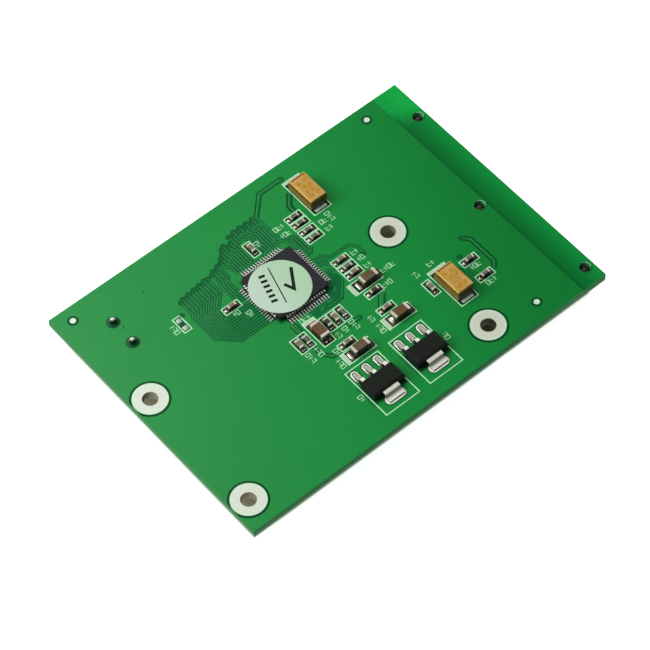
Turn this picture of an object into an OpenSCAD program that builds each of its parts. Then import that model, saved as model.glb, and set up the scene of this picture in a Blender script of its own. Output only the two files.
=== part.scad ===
// Drive adapter board: a bridge chip, its regulators and capacitors on the top face of a
// circuit board, with a 22-way serial ATA plug, a ribbon socket and a crystal underneath.
// X runs along the board towards the plug, Y across it, Z up out of the component side.
// The origin is the centre of the board's outline, level with the lowest point of the plug.

/* [Board] */
// Length of the board
board_l = 72; // [72:0.5:110]
// Width of the board
board_w = 51; // [48:0.5:90]
// Thickness of the laminate
board_t = 1.6; // [1:0.1:3.2]

/* [Mounting holes] */
// Clear diameter of a plated mounting hole
hole_d = 2.6; // [2:0.1:3.2]
// Distance between hole centres along the board
hole_pitch_x = 48.5; // [44:0.5:48.5]
// Distance between hole centres across the board
hole_pitch_y = 24; // [20:0.5:25]
// Centre of the hole pattern, along the board
hole_centre_x = -8.75; // [-8.75:0.25:-7]
// Centre of the hole pattern, across the board
hole_centre_y = -8.6; // [-9:0.1:-8]
// Diameter of the bare land round a mounting hole
land_d = 5.8; // [4:0.1:5.8]
// Height of a land above the laminate
land_t = 0.05; // [0.03:0.01:0.1]
// Thickness of the metal lining of a hole
lining_t = 0.05; // [0.03:0.01:0.1]

/* [Bridge chip] */
// Centre of the chip, along the board
chip_x = -3.6; // [-4:0.1:-3.2]
// Centre of the chip, across the board
chip_y = 6.2; // [5.8:0.1:6.6]
// Side of the square case
chip_size = 10; // [8:0.5:10]
// Thickness of the case
chip_t = 1; // [0.8:0.1:1.6]
// Gap between the case and the board
chip_gap = 0.1; // [0.05:0.05:0.2]
// Leads on each side
chip_leads = 16; // [8:1:18]
// Distance between leads
chip_pitch = 0.5; // [0.4:0.1:0.5]
// Width of a lead
chip_lead_w = 0.22; // [0.16:0.02:0.3]
// Thickness of a lead
chip_lead_t = 0.13; // [0.1:0.01:0.2]
// How far a lead stands out from the case
chip_lead_reach = 1; // [0.8:0.05:1.2]
// Diameter of the round inspection sticker
sticker_d = 10.2; // [6:0.1:10.4]
// Thickness of the sticker
sticker_t = 0.08; // [0.04:0.01:0.2]
// Sideways offset of the sticker from the chip's centre
sticker_dx = -1.2; // [-1.4:0.1:1.4]
// Endways offset of the sticker from the chip's centre
sticker_dy = -0.3; // [-1:0.1:1]

/* [Regulators] */
// Length of a regulator's case
reg_l = 6.3; // [5.6:0.1:7.6]
// Width of a regulator's case
reg_w = 3.5; // [3:0.1:4]
// Thickness of a regulator's case
reg_t = 1.55; // [1.2:0.05:1.8]
// Gap between a regulator's case and the board
reg_gap = 0.08; // [0.04:0.02:0.2]
// Distance between the three leads
reg_pitch = 2.3; // [2:0.05:2.5]
// Width of a regulator lead
reg_lead_w = 0.7; // [0.5:0.05:0.9]
// Width of the cooling tab
reg_tab_w = 3; // [2.4:0.1:3.6]
// Thickness of the leads and the tab
reg_metal_t = 0.28; // [0.2:0.02:0.36]
// How far the leads and the tab stand out from the case
reg_reach = 1.75; // [1.4:0.05:2]

/* [Tantalum capacitors] */
// Length over the terminals
tant_l = 6; // [5:0.1:6.4]
// Width of the case
tant_w = 3.3; // [2.6:0.1:3.5]
// Height of the case
tant_h = 2.4; // [1.8:0.1:3]
// Width of a terminal
tant_strap_w = 2.2; // [1.6:0.1:2.4]
// Thickness of a terminal
tant_strap_t = 0.14; // [0.1:0.01:0.2]
// Length of a terminal's foot
tant_foot = 1.3; // [0.8:0.1:1.6]

/* [Chip components] */
// Length of a bulk ceramic capacitor
bulk_l = 3.1; // [2.8:0.1:3.2]
// Width of a bulk ceramic capacitor
bulk_w = 1.6; // [1.2:0.1:1.7]
// Height of a bulk ceramic capacitor
bulk_h = 1.35; // [0.8:0.05:1.6]
// Length of a tinned end of a bulk ceramic capacitor
bulk_cap = 0.48; // [0.3:0.02:0.8]
// Length of a small chip component
small_l = 1.6; // [1.4:0.05:1.8]
// Width of a small chip component
small_w = 0.8; // [0.6:0.05:0.9]
// Length of a tinned end of a small chip component
small_cap = 0.32; // [0.2:0.02:0.5]
// Height of a small capacitor or ferrite bead
small_h = 0.8; // [0.5:0.05:0.9]
// Height of a resistor
resistor_h = 0.45; // [0.35:0.05:0.6]

/* [Serial ATA plug] */
// Depth of the plug, from its mating face to its back
plug_depth = 8.4; // [7.6:0.1:10]
// Height of the plug below the board
plug_h = 4.6; // [4.4:0.1:5.4]
// Centre of the plug, across the board
plug_y = -2.3; // [-2.6:0.1:-1]
// Free length of the contact tongues
tongue_l = 4.4; // [4:0.1:5]
// Thickness of the contact tongues
tongue_t = 1.23; // [1:0.01:1.3]
// Distance between the board and the middle of the tongues
tongue_z = 2.55; // [2.4:0.05:2.8]
// Room beyond the first and the last contact, to the ends of the tongues
tongue_end = 0.82; // [0.6:0.01:1.2]
// Gap between the signal tongue and the power tongue
tongue_gap = 2.4; // [2:0.1:2.8]
// Width of a guide arm
arm_w = 2.4; // [2.2:0.1:3]
// Gap between a guide arm and the tongues
arm_gap = 2; // [1.6:0.1:2.4]
// How far a guide arm stops short of the plug's lowest face
arm_step = 0.4; // [0:0.1:1]
// Distance between contacts
plug_pitch = 1.27; // [1.05:0.01:1.3]
// Width of a contact
plug_contact_w = 0.84; // [0.6:0.02:0.9]
// Diameter of a locating peg
peg_d = 1.7; // [1.4:0.1:1.7]
// Distance from an end of the plug to the outer peg
peg_inset = 1; // [0.9:0.1:1.6]
// Distance from the mating face to the outer pegs
peg_setback = 1.6; // [1.4:0.1:2.4]
// Distance from the mating face to the middle peg
middle_peg_setback = 6; // [5.6:0.1:6.4]
// How far a peg stops short of the board's top face
peg_recess = 0.35; // [0.1:0.05:0.6]

/* [Ribbon socket] */
// Contacts in the socket
ribbon_ways = 40; // [20:2:44]
// Distance between contacts
ribbon_pitch = 0.5; // [0.4:0.1:0.5]
// Centre of the socket, along the board
ribbon_x = -8.5; // [-9:0.5:-5]
// Depth of the socket, from its mouth to its back
ribbon_depth = 5.2; // [4.6:0.1:6]
// Height of the socket below the board
ribbon_h = 2; // [1.8:0.1:2.6]
// Distance from the board's edge to the socket's mouth
ribbon_setback = 0.3; // [0:0.1:2]

/* [Crystal] */
// Centre of the crystal, along the board
crystal_x = -28.5; // [-30:0.1:-26]
// Centre of the crystal, across the board
crystal_y = 16; // [15.5:0.1:17]
// Distance between the crystal's leads
crystal_pitch = 5; // [4.4:0.02:5.6]
// Length of the crystal's flange
crystal_l = 11; // [10:0.1:11.6]
// Width of the crystal's flange
crystal_w = 4.6; // [4.2:0.1:5]
// Height of the crystal below the board
crystal_h = 3.6; // [3:0.1:4]
// Diameter of a crystal lead
crystal_lead_d = 0.45; // [0.35:0.05:0.6]
// Diameter of a solder joint on the board's top face
joint_d = 2.1; // [1.6:0.1:2.4]
// Height of a solder joint
joint_h = 0.95; // [0.6:0.05:1.4]
// Diameter of the rounded top of a solder joint
joint_top_d = 0.95; // [0.8:0.05:1.2]

/* [Clearances] */
// Gap round a locating peg in its hole
peg_clearance = 0.12; // [0.05:0.01:0.2]
// Gap round a crystal lead in its hole
lead_clearance = 0.15; // [0.05:0.05:0.25]
// Gap round a contact in its housing
contact_clearance = 0.02; // [0.01:0.01:0.04]

/* [Hidden] */
// Places on the board are measured from the centre of its outline
LEFT_REGULATOR = [-4.05, -18];
RIGHT_REGULATOR = [4.85, -18];
UPPER_TANTALUM = [10.5, 17.4];
LOWER_TANTALUM = [16.5, -11.4];
// Chip components: X, Y and the turn of the long side from X
BULK_CAPACITORS = [[7, -1.65, 0], [6.45, -10.05, 0], [-2.55, -10.9, 0], [-5.3, -4.45, 90]];
SMALL_CAPACITORS = [
    [6.15, 4.05, 0], [6.15, 0.8, 0], [-9.3, -4.2, 90], [-1.75, -3.9, 90], [-3.35, -8.75, 0],
    [5.6, -7.7, 0], [13.45, -9.4, 90], [-12.65, 8.45, 0], [-3.2, 15.05, 90]
];
RESISTORS = [
    [6, 15.5, 0], [6, 13.9, 0], [6, 12.05, 0], [6, 10.4, 0], [6.15, 2.4, 0],
    [-7.8, -4.15, 90], [-0.2, -3.85, 90]
];
FERRITE_BEADS = [[21.55, -9.3, 0], [21.55, -13.1, 0], [6.2, -4, 0], [-3.3, -3.9, 90]];

$fn = 48;
slack = 1;
bottom_z = plug_h;
top_z = bottom_z + board_t;

board_colour = [0.11, 0.5, 0.25];
case_colour = [0.09, 0.09, 0.1];
tin_colour = [0.78, 0.78, 0.74];
gold_colour = [0.85, 0.68, 0.32];
ceramic_colour = [0.45, 0.33, 0.26];
bead_colour = [0.22, 0.21, 0.21];

// Bends in metal leads: the flats in one bend, and its middle radius in metal thicknesses
bend_flats = 3;
bend_ratio = 0.6;

// Chip leads: the lead leaves the case halfway up
chip_lead_z = chip_gap + chip_t / 2;
chip_draft = 0.08;
chip_bevel = 0.04;
chip_shoulder = 0.25;
chip_foot = 0.45;
chip_corner = 0.35;
pin_mark_d = 1.2;
pin_mark_t = 0.06;
pin_mark_inset = 1.3;

// Regulator leads leave the case a little above its middle
reg_lead_z = reg_gap + reg_t * 0.55;
reg_draft = 0.25;
reg_bevel = 0.08;
reg_shoulder = 0.45;
reg_foot = 0.85;

// Tantalum case: the terminals leave its ends at the parting line and fold down under it
tant_band_z = tant_h * 0.48;
tant_draft = 0.06;
tant_bevel = 0.12;

cap_wrap = 0.03;
chip_edge_r = 0.09;
coat_t = 0.05;

// Plug contacts: seven signal contacts, then fifteen power contacts
signal_ways = 7;
power_ways = 15;
signal_margin = 1.6;
segment_step = 5 * plug_pitch;
contact_span = (signal_ways - 1 + power_ways - 1) * plug_pitch + segment_step;
tongue_span = contact_span + 2 * tongue_end;
plug_w = tongue_span + 2 * (arm_gap + arm_w);
peg_span = plug_w - 2 * peg_inset;
arm_h = plug_h - arm_step;
first_contact_y = contact_span / 2;
power_offset = (signal_ways - 1) * plug_pitch + segment_step;
signal_tongue_w = (signal_ways - 1) * plug_pitch + tongue_end + signal_margin;
power_tongue_w = tongue_span - signal_tongue_w - tongue_gap;
key_w = 1.2;
key_drop = 1.25;
tongue_setback = 0.3;
tongue_tip = 0.3;
plug_contact_t = 0.2;
plug_contact_proud = 0.05;
plug_contact_z = tongue_z + tongue_t / 2 + plug_contact_proud - plug_contact_t;
plug_tail_gap = 0.1;
plug_tail = 1.5;
long_contact_tip = 0.55;
short_contact_tip = 1.05;
LONG_SIGNAL = [0, 3, 6];
LONG_POWER = [2, 3, 4, 5, 6, 9, 11, 12];
plug_bevel = 1;
plug_corner = 0.6;
arm_lead_in = 0.8;
arm_bevel = 0.4;
peg_tip = 0.55;
peg_taper = 0.2;
peg_crown = 0.25;
anchor_l = 1.6;
anchor_w = 1;
anchor_t = 0.2;
anchor_up = 1.6;

// Ribbon socket, measured from its back face towards its mouth
ribbon_span = (ribbon_ways - 1) * ribbon_pitch;
ribbon_end = 2.9;
ribbon_w = ribbon_span + 2 * ribbon_end;
ribbon_slot_w = ribbon_span + 1.1;
ribbon_back = 1.1;
ribbon_floor = 0.5;
ribbon_roof = 0.55;
ribbon_contact_w = 0.2;
ribbon_contact_t = 0.15;
ribbon_tail = 0.9;
ribbon_beam_tip = 0.7;
ribbon_bump = 0.2;
ribbon_ramp = 0.6;
ribbon_bevel = 0.4;
ribbon_lip = 0.35;

// Crystal
joint_crown = 0.25;
crystal_flange = 0.45;
crystal_rim = 0.4;
crystal_round = 0.6;

// Side view of a moulded case: full width along a short band, drawn in above and below it,
// with its top edges bevelled
module case_profile(width, height, band_z, band_t, draft, bevel) {
    half = width / 2;
    polygon([
        [draft - half, 0], [half - draft, 0],
        [half, band_z - band_t / 2], [half, band_z + band_t / 2],
        [half - draft, height - bevel], [half - draft - bevel, height],
        [draft + bevel - half, height], [draft - half, height - bevel],
        [-half, band_z + band_t / 2], [-half, band_z - band_t / 2]
    ]);
}

// A moulded case with drafted sides, standing on Z = 0
module moulded_case(length, width, height, band_z, band_t, draft, bevel) {
    intersection() {
        rotate([90, 0, 0])
            linear_extrude(width + slack, center = true)
                case_profile(length, height, band_z, band_t, draft, bevel);
        rotate([90, 0, 90])
            linear_extrude(length + slack, center = true)
                case_profile(width, height, band_z, band_t, draft, bevel);
    }
}

function arc(centre, radius, from, to) = [
    for (i = [0:bend_flats])
        let (a = from + (to - from) * i / bend_flats)
            centre + radius * [cos(a), sin(a)]
];

// A gull-wing lead pointing along X: shoulder, drop and foot, its foot on Z = 0. The drop is the
// line that touches both bends, and their middle line has the radius bend.
module gull_wing(reach, shoulder, foot, lead_z, metal_t, width) {
    half = metal_t / 2;
    bend = metal_t * bend_ratio;
    upper = [shoulder, lead_z - bend];
    lower = [reach - foot, half + bend];
    apart = upper - lower;
    steepness = atan2(apart.y, -apart.x) + asin(2 * bend / norm(apart));
    rotate([90, 0, 0])
        linear_extrude(width, center = true)
            polygon(concat(
                [[0, lead_z + half]],
                arc(upper, bend + half, 90, 90 - steepness),
                arc(lower, bend - half, 270 - steepness, 270),
                [[reach, metal_t], [reach, 0]],
                arc(lower, bend + half, 270, 270 - steepness),
                arc(upper, bend - half, 90 - steepness, 90),
                [[0, lead_z - half]]
            ));
}

// A bar along X with its long edges and upright corners rounded, standing on Z = 0
module rounded_bar(length, width, height, edge) {
    intersection() {
        translate([0, 0, height / 2])
            rotate([90, 0, 90])
                linear_extrude(length + slack, center = true)
                    rounded_rect(width, height, edge);
        linear_extrude(height)
            rounded_rect(length, width, edge);
    }
}

module rounded_rect(length, width, radius) {
    offset(radius, $fn = 16)
        square([length - 2 * radius, width - 2 * radius], center = true);
}

module stadium(length, width) {
    hull()
        for (side = [-1, 1])
            translate([side * (length - width) / 2, 0])
                circle(d = width);
}

module on_top(place) {
    translate([place.x, place.y, top_z])
        children();
}

// Parts on the underside are drawn standing on Z = 0 and hung upside down from the board
module underneath(x, y) {
    translate([x, y, bottom_z])
        mirror([0, 0, 1])
            children();
}

module at_mounting_holes() {
    for (sx = [-1, 1], sy = [-1, 1])
        translate([hole_centre_x + sx * hole_pitch_x / 2, hole_centre_y + sy * hole_pitch_y / 2, 0])
            children();
}

module at_crystal_leads() {
    for (side = [-1, 1])
        translate([crystal_x, crystal_y + side * crystal_pitch / 2, 0])
            children();
}

// Pegs of the plug, measured from the middle of its mating face
function peg_places() = [
    [-peg_setback, peg_span / 2], [-peg_setback, -peg_span / 2], [-middle_peg_setback, 0]
];

module circuit_board() {
    color(board_colour)
        difference() {
            translate([-board_l / 2, -board_w / 2, bottom_z])
                cube([board_l, board_w, board_t]);
            at_mounting_holes()
                translate([0, 0, bottom_z - slack])
                    cylinder(d = hole_d + 2 * lining_t, h = board_t + 2 * slack);
            at_crystal_leads()
                translate([0, 0, bottom_z - slack])
                    cylinder(d = crystal_lead_d + 2 * lead_clearance, h = board_t + 2 * slack);
            for (peg = peg_places())
                translate([board_l / 2 + peg.x, plug_y + peg.y, bottom_z - slack])
                    cylinder(d = peg_d + 2 * peg_clearance, h = board_t + 2 * slack);
        }
}

// Each lining is one turned piece: the tube in the hole with a flat land at either end
module mounting_hole_linings() {
    color(tin_colour)
        at_mounting_holes()
            translate([0, 0, bottom_z])
                rotate_extrude()
                    polygon([
                        [hole_d / 2, -land_t], [land_d / 2, -land_t], [land_d / 2, 0],
                        [hole_d / 2 + lining_t, 0], [hole_d / 2 + lining_t, board_t],
                        [land_d / 2, board_t], [land_d / 2, board_t + land_t],
                        [hole_d / 2, board_t + land_t]
                    ]);
}

module bridge_chip_body() {
    half = chip_size / 2;
    color(case_colour)
        on_top([chip_x, chip_y])
            difference() {
                intersection() {
                    translate([0, 0, chip_gap])
                        moulded_case(
                            chip_size, chip_size, chip_t, chip_t / 2, chip_lead_t, chip_draft, chip_bevel
                        );
                    linear_extrude(chip_gap + chip_t)
                        rotate(45)
                            square((chip_size - chip_corner) * sqrt(2), center = true);
                }
                translate([pin_mark_inset - half, pin_mark_inset - half, chip_gap + chip_t - pin_mark_t])
                    cylinder(d = pin_mark_d, h = slack);
            }
}

module bridge_chip_leads() {
    color(tin_colour)
        on_top([chip_x, chip_y])
            for (side = [0:3], i = [0:chip_leads - 1])
                rotate(90 * side)
                    translate([chip_size / 2, (i - (chip_leads - 1) / 2) * chip_pitch, 0])
                        gull_wing(
                            chip_lead_reach, chip_shoulder, chip_foot, chip_lead_z,
                            chip_lead_t, chip_lead_w
                        );
}

module inspection_sticker() {
    color([0.8, 0.88, 0.82])
        on_top([chip_x + sticker_dx, chip_y + sticker_dy])
            translate([0, 0, chip_gap + chip_t])
                cylinder(d = sticker_d, h = sticker_t, $fn = 96);
}

module regulator_body(place) {
    color(case_colour)
        on_top(place)
            translate([0, 0, reg_gap])
                moulded_case(
                    reg_l, reg_w, reg_t, reg_lead_z - reg_gap, reg_metal_t, reg_draft, reg_bevel
                );
}

module regulator_terminals(place) {
    color(tin_colour)
        on_top(place) {
            for (i = [-1:1])
                translate([i * reg_pitch, reg_w / 2, 0])
                    rotate(90)
                        gull_wing(reg_reach, reg_shoulder, reg_foot, reg_lead_z, reg_metal_t, reg_lead_w);
            translate([0, -reg_w / 2, 0])
                rotate(-90)
                    gull_wing(reg_reach, reg_shoulder, reg_foot, reg_lead_z, reg_metal_t, reg_tab_w);
        }
}

module tantalum_body(place) {
    color([0.78, 0.55, 0.2])
        on_top(place)
            difference() {
                moulded_case(
                    tant_w, tant_l - 2 * tant_strap_t, tant_h, tant_band_z, 2 * tant_strap_t,
                    tant_draft, tant_bevel
                );
                for (side = [-1, 1])
                    translate([0, side * tant_l / 2, 0])
                        strap_room();
            }
}

// Flat seats for a folded terminal: under the case and up its end
module strap_room() {
    reach = 2 * (tant_foot + contact_clearance);
    width = tant_strap_w + 2 * contact_clearance;
    translate([-width / 2, -reach / 2, -slack])
        cube([width, reach, slack + tant_strap_t + contact_clearance]);
}

module tantalum_terminals(place) {
    foot_end = tant_l / 2 - tant_foot;
    strap_in = tant_l / 2 - tant_strap_t;
    color(tin_colour)
        on_top(place)
            for (turn = [0, 180])
                rotate(turn)
                    rotate([90, 0, 90])
                        linear_extrude(tant_strap_w, center = true)
                            polygon([
                                [foot_end, 0], [tant_l / 2, 0],
                                [tant_l / 2, tant_band_z + tant_strap_t],
                                [strap_in, tant_band_z + tant_strap_t],
                                [strap_in, tant_strap_t], [foot_end, tant_strap_t]
                            ]);
}

// A ceramic chip between two wrapped ends
module chip_between_caps(length, width, height, cap, chip_colour) {
    color(chip_colour)
        translate([0, 0, cap_wrap])
            rounded_bar(length - cap, width - 2 * cap_wrap, height - 2 * cap_wrap, chip_edge_r);
    color(tin_colour)
        for (side = [-1, 1])
            translate([side * (length - cap) / 2, 0, 0])
                rounded_bar(cap, width, height, chip_edge_r);
}

module bulk_capacitor(place) {
    on_top(place)
        rotate(place[2])
            chip_between_caps(bulk_l, bulk_w, bulk_h, bulk_cap, ceramic_colour);
}

module small_capacitor(place) {
    on_top(place)
        rotate(place[2])
            chip_between_caps(small_l, small_w, small_h, small_cap, ceramic_colour);
}

module ferrite_bead(place) {
    on_top(place)
        rotate(place[2])
            chip_between_caps(small_l, small_w, small_h, small_cap, bead_colour);
}

// A flat ceramic plate between wrapped ends, under a raised glass coat
module resistor(place) {
    coat_l = small_l - 2 * small_cap - 2 * cap_wrap;
    on_top(place)
        rotate(place[2]) {
            chip_between_caps(small_l, small_w, resistor_h, small_cap, "ivory");
            color(case_colour)
                translate([0, 0, resistor_h / 2])
                    rounded_bar(coat_l, small_w - 4 * cap_wrap, resistor_h / 2 + coat_t, coat_t);
        }
}

// Solder round the end of each lead: hollow flanks that wet the board, under a rounded top
module crystal_solder_joints() {
    lead_r = crystal_lead_d / 2;
    top_r = joint_top_d / 2;
    flank_w = joint_d / 2 - top_r;
    flank_h = joint_h - joint_crown;
    color(tin_colour)
        at_crystal_leads()
            translate([0, 0, top_z])
                rotate_extrude()
                    polygon(concat(
                        [[lead_r, joint_h / 2], [lead_r, 0]],
                        [for (a = [0:15:90]) [top_r + flank_w * (1 - sin(a)), flank_h * (1 - cos(a))]],
                        [for (a = [15:15:90]) [top_r * cos(a), flank_h + joint_crown * sin(a)]],
                        [[0, joint_h / 2]]
                    ));
}

// Half of the drawn can's end view, rounded at its crown
module can_profile(half, height) {
    square([half, height - crystal_round]);
    square([half - crystal_round, height]);
    intersection() {
        translate([half - crystal_round, height - crystal_round])
            circle(crystal_round);
        square([half, height]);
    }
}

module crystal_can() {
    half = crystal_w / 2 - crystal_rim;
    height = crystal_h - crystal_flange;
    straight = crystal_l - crystal_w;
    color([0.76, 0.76, 0.76])
        underneath(crystal_x, crystal_y)
            translate([0, 0, crystal_flange]) {
                for (turn = [0, 180])
                    rotate(turn)
                        translate([0, straight / 2, 0])
                            rotate_extrude(angle = 180)
                                can_profile(half, height);
                rotate([90, 0, 0])
                    linear_extrude(straight, center = true) {
                        can_profile(half, height);
                        mirror([1, 0])
                            can_profile(half, height);
                    }
            }
}

module crystal_header() {
    color([0.7, 0.7, 0.68])
        underneath(crystal_x, crystal_y)
            difference() {
                rotate(90)
                    linear_extrude(crystal_flange)
                        stadium(crystal_l, crystal_w);
                for (side = [-1, 1])
                    translate([0, side * crystal_pitch / 2, -slack])
                        cylinder(d = crystal_lead_d, h = crystal_flange + 2 * slack);
            }
}

module crystal_leads() {
    color(tin_colour)
        at_crystal_leads()
            translate([0, 0, bottom_z - crystal_flange])
                cylinder(d = crystal_lead_d, h = crystal_flange + board_t + joint_h / 2);
}

// The plug is drawn from the middle of its mating face, which points along X
module sata_plug_housing() {
    color([0.1, 0.1, 0.11])
        underneath(board_l / 2, plug_y)
            difference() {
                union() {
                    plug_base();
                    for (side = [0, 1])
                        mirror([0, side, 0])
                            guide_arm();
                    tongue(tongue_span / 2, signal_tongue_w);
                    tongue(power_tongue_w - tongue_span / 2, power_tongue_w);
                    pegs();
                }
                for (i = [0:signal_ways - 1])
                    contact_room(signal_y(i));
                for (i = [0:power_ways - 1])
                    contact_room(power_y(i));
            }
}

function signal_y(i) = first_contact_y - i * plug_pitch;
function power_y(i) = first_contact_y - power_offset - i * plug_pitch;

// The block that carries the tongues, bevelled along its back and at its two ends
module plug_base() {
    back = -plug_depth;
    front = -tongue_l;
    half = plug_w / 2;
    intersection() {
        rotate([90, 0, 0])
            linear_extrude(plug_w, center = true)
                polygon([
                    [back, 0], [front, 0], [front, plug_h], [back + plug_bevel, plug_h],
                    [back, plug_h - plug_bevel]
                ]);
        rotate([90, 0, 90])
            linear_extrude(2 * (plug_depth + slack), center = true)
                polygon([
                    [-half, 0], [half, 0], [half, plug_h - plug_corner], [half - plug_corner, plug_h],
                    [plug_corner - half, plug_h], [-half, plug_h - plug_corner]
                ]);
    }
}

// An arm beside the tongues: its tip has a slanted lead-in on the inside, and bevels elsewhere
module guide_arm() {
    outer = plug_w / 2;
    inner = outer - arm_w;
    back = -tongue_l - slack;
    intersection() {
        linear_extrude(arm_h)
            polygon([
                [back, outer], [-arm_bevel, outer], [0, outer - arm_bevel],
                [0, inner + arm_lead_in], [-arm_lead_in, inner], [back, inner]
            ]);
        rotate([90, 0, 0])
            linear_extrude(2 * plug_w, center = true)
                polygon([
                    [back, 0], [-arm_bevel, 0], [0, arm_bevel], [0, arm_h - arm_bevel],
                    [-arm_bevel, arm_h], [back, arm_h]
                ]);
        rotate([90, 0, 90])
            linear_extrude(2 * (plug_depth + slack), center = true)
                polygon([
                    [inner, 0], [outer, 0], [outer, arm_h - arm_bevel], [outer - arm_bevel, arm_h],
                    [inner + arm_bevel, arm_h], [inner, arm_h - arm_bevel]
                ]);
    }
}

// A tongue with a pointed front edge, and the key that turns it into an L at its first contact
module tongue(start_y, width) {
    half = tongue_t / 2;
    tip = -tongue_setback;
    translate([0, start_y - width / 2, tongue_z])
        rotate([90, 0, 0])
            linear_extrude(width, center = true)
                polygon([
                    [-tongue_l - slack, -half], [tip - tongue_tip, -half], [tip, tongue_tip - half],
                    [tip, half - tongue_tip], [tip - tongue_tip, half], [-tongue_l - slack, half]
                ]);
    translate([-tongue_l - slack, start_y - key_w, tongue_z - half - key_drop])
        cube([tongue_l + slack - tongue_setback - tongue_tip, key_w, key_drop + half]);
}

// Pegs with a tapered, rounded tip
module pegs() {
    depth = board_t - peg_recess;
    tip_r = peg_d / 2 - peg_taper;
    for (peg = peg_places())
        translate([peg.x, peg.y, 0])
            rotate_extrude()
                polygon(concat(
                    [[0, slack], [peg_d / 2, slack], [peg_d / 2, peg_tip - depth]],
                    [for (a = [0:15:90]) [tip_r * cos(a), peg_crown * (1 - sin(a)) - depth]]
                ));
}

// The groove along a tongue and the tunnel behind it that hold one contact
module contact_room(y) {
    width = plug_contact_w + 2 * contact_clearance;
    translate([-plug_depth - slack, y - width / 2, plug_contact_z - contact_clearance])
        cube([plug_depth + slack - long_contact_tip + contact_clearance, width,
            plug_contact_t + 2 * contact_clearance]);
}

// One bent strip: along the tongue, out of the back, down to the board and out to its foot
module plug_contact(y, tip) {
    back = -plug_depth - plug_tail_gap;
    low = plug_contact_z;
    high = plug_contact_z + plug_contact_t;
    translate([0, y, 0])
        rotate([90, 0, 0])
            linear_extrude(plug_contact_w, center = true)
                polygon([
                    [-tip, low], [-tip, high], [back - plug_contact_t, high],
                    [back - plug_contact_t, plug_contact_t], [back - plug_tail, plug_contact_t],
                    [back - plug_tail, 0], [back, 0], [back, low]
                ]);
}

function contact_tip(i, long_ones) = len(search(i, long_ones)) > 0 ? long_contact_tip : short_contact_tip;

module sata_signal_contacts() {
    color(gold_colour)
        underneath(board_l / 2, plug_y)
            for (i = [0:signal_ways - 1])
                plug_contact(signal_y(i), contact_tip(i, LONG_SIGNAL));
}

module sata_power_contacts() {
    color(gold_colour)
        underneath(board_l / 2, plug_y)
            for (i = [0:power_ways - 1])
                plug_contact(power_y(i), contact_tip(i, LONG_POWER));
}

// Soldered brackets on the two end faces of the plug's base
module sata_plug_anchors() {
    color(tin_colour)
        underneath(board_l / 2 - (plug_depth + tongue_l) / 2, plug_y)
            for (side = [0, 1])
                mirror([0, side, 0])
                    translate([0, plug_w / 2, 0])
                        anchor();
}

// An L-shaped bracket: a foot on the board and a leg against the housing
module anchor() {
    rotate([90, 0, 90])
        linear_extrude(anchor_l, center = true)
            polygon([
                [0, 0], [anchor_w, 0], [anchor_w, anchor_t], [anchor_t, anchor_t],
                [anchor_t, anchor_up], [0, anchor_up]
            ]);
}

// The socket is drawn from the middle of its back face, with its mouth towards +Y
module ribbon_place() {
    underneath(ribbon_x, board_w / 2 - ribbon_setback - ribbon_depth)
        children();
}

// The moulded block: a low step at its back, and corners bevelled where a ribbon is led in
module ribbon_block() {
    half = ribbon_w / 2;
    intersection() {
        rotate([90, 0, 90])
            linear_extrude(ribbon_w, center = true)
                polygon([
                    [0, 0], [ribbon_depth, 0], [ribbon_depth, ribbon_h], [ribbon_bevel, ribbon_h],
                    [0, ribbon_h - ribbon_bevel]
                ]);
        linear_extrude(ribbon_h)
            polygon([
                [-half, 0], [half, 0], [half, ribbon_depth - ribbon_bevel],
                [half - ribbon_bevel, ribbon_depth], [ribbon_bevel - half, ribbon_depth],
                [-half, ribbon_depth - ribbon_bevel]
            ]);
    }
}

module ribbon_socket_housing() {
    comb_w = ribbon_contact_w + 2 * contact_clearance;
    color([0.9, 0.86, 0.76])
        ribbon_place()
            difference() {
                ribbon_block();
                translate([-ribbon_slot_w / 2, ribbon_back, ribbon_floor])
                    cube([ribbon_slot_w, ribbon_depth, ribbon_h - ribbon_floor - ribbon_roof]);
                // The mouth flares towards the ribbon
                translate([0, ribbon_depth, 0])
                    rotate([90, 0, 90])
                        linear_extrude(ribbon_slot_w, center = true)
                            polygon([
                                [-ribbon_lip, ribbon_h - ribbon_roof - slack],
                                [-ribbon_lip, ribbon_h - ribbon_roof],
                                [slack, ribbon_h - ribbon_roof + slack + ribbon_lip],
                                [slack, ribbon_h - ribbon_roof - slack]
                            ]);
                for (i = [0:ribbon_ways - 1])
                    translate([i * ribbon_pitch - ribbon_span / 2 - comb_w / 2, -slack, -slack])
                        cube([comb_w, slack + ribbon_depth - ribbon_beam_tip, slack + ribbon_floor
                            + ribbon_contact_t + contact_clearance]);
            }
}

// One contact: a foot behind the socket, and a beam along its floor with a raised tip
module ribbon_contact() {
    rise = ribbon_floor - contact_clearance;
    tip = ribbon_depth - ribbon_beam_tip - contact_clearance;
    rotate([90, 0, 90])
        linear_extrude(ribbon_contact_w, center = true)
            polygon([
                [-ribbon_tail, 0], [contact_clearance + ribbon_contact_t, 0],
                [contact_clearance + ribbon_contact_t, rise - ribbon_contact_t],
                [tip, rise - ribbon_contact_t], [tip, rise],
                [tip - ribbon_bump, rise + ribbon_bump], [tip - ribbon_ramp, rise],
                [0, rise], [0, ribbon_contact_t], [-ribbon_tail, ribbon_contact_t]
            ]);
}

module ribbon_socket_contacts() {
    color(gold_colour)
        ribbon_place()
            for (i = [0:ribbon_ways - 1])
                translate([i * ribbon_pitch - ribbon_span / 2, 0, 0])
                    ribbon_contact();
}

module ribbon_socket_anchors() {
    color(tin_colour)
        ribbon_place()
            for (side = [-1, 1])
                translate([side * ribbon_w / 2, ribbon_depth / 2, 0])
                    rotate(-side * 90)
                        anchor();
}

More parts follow.
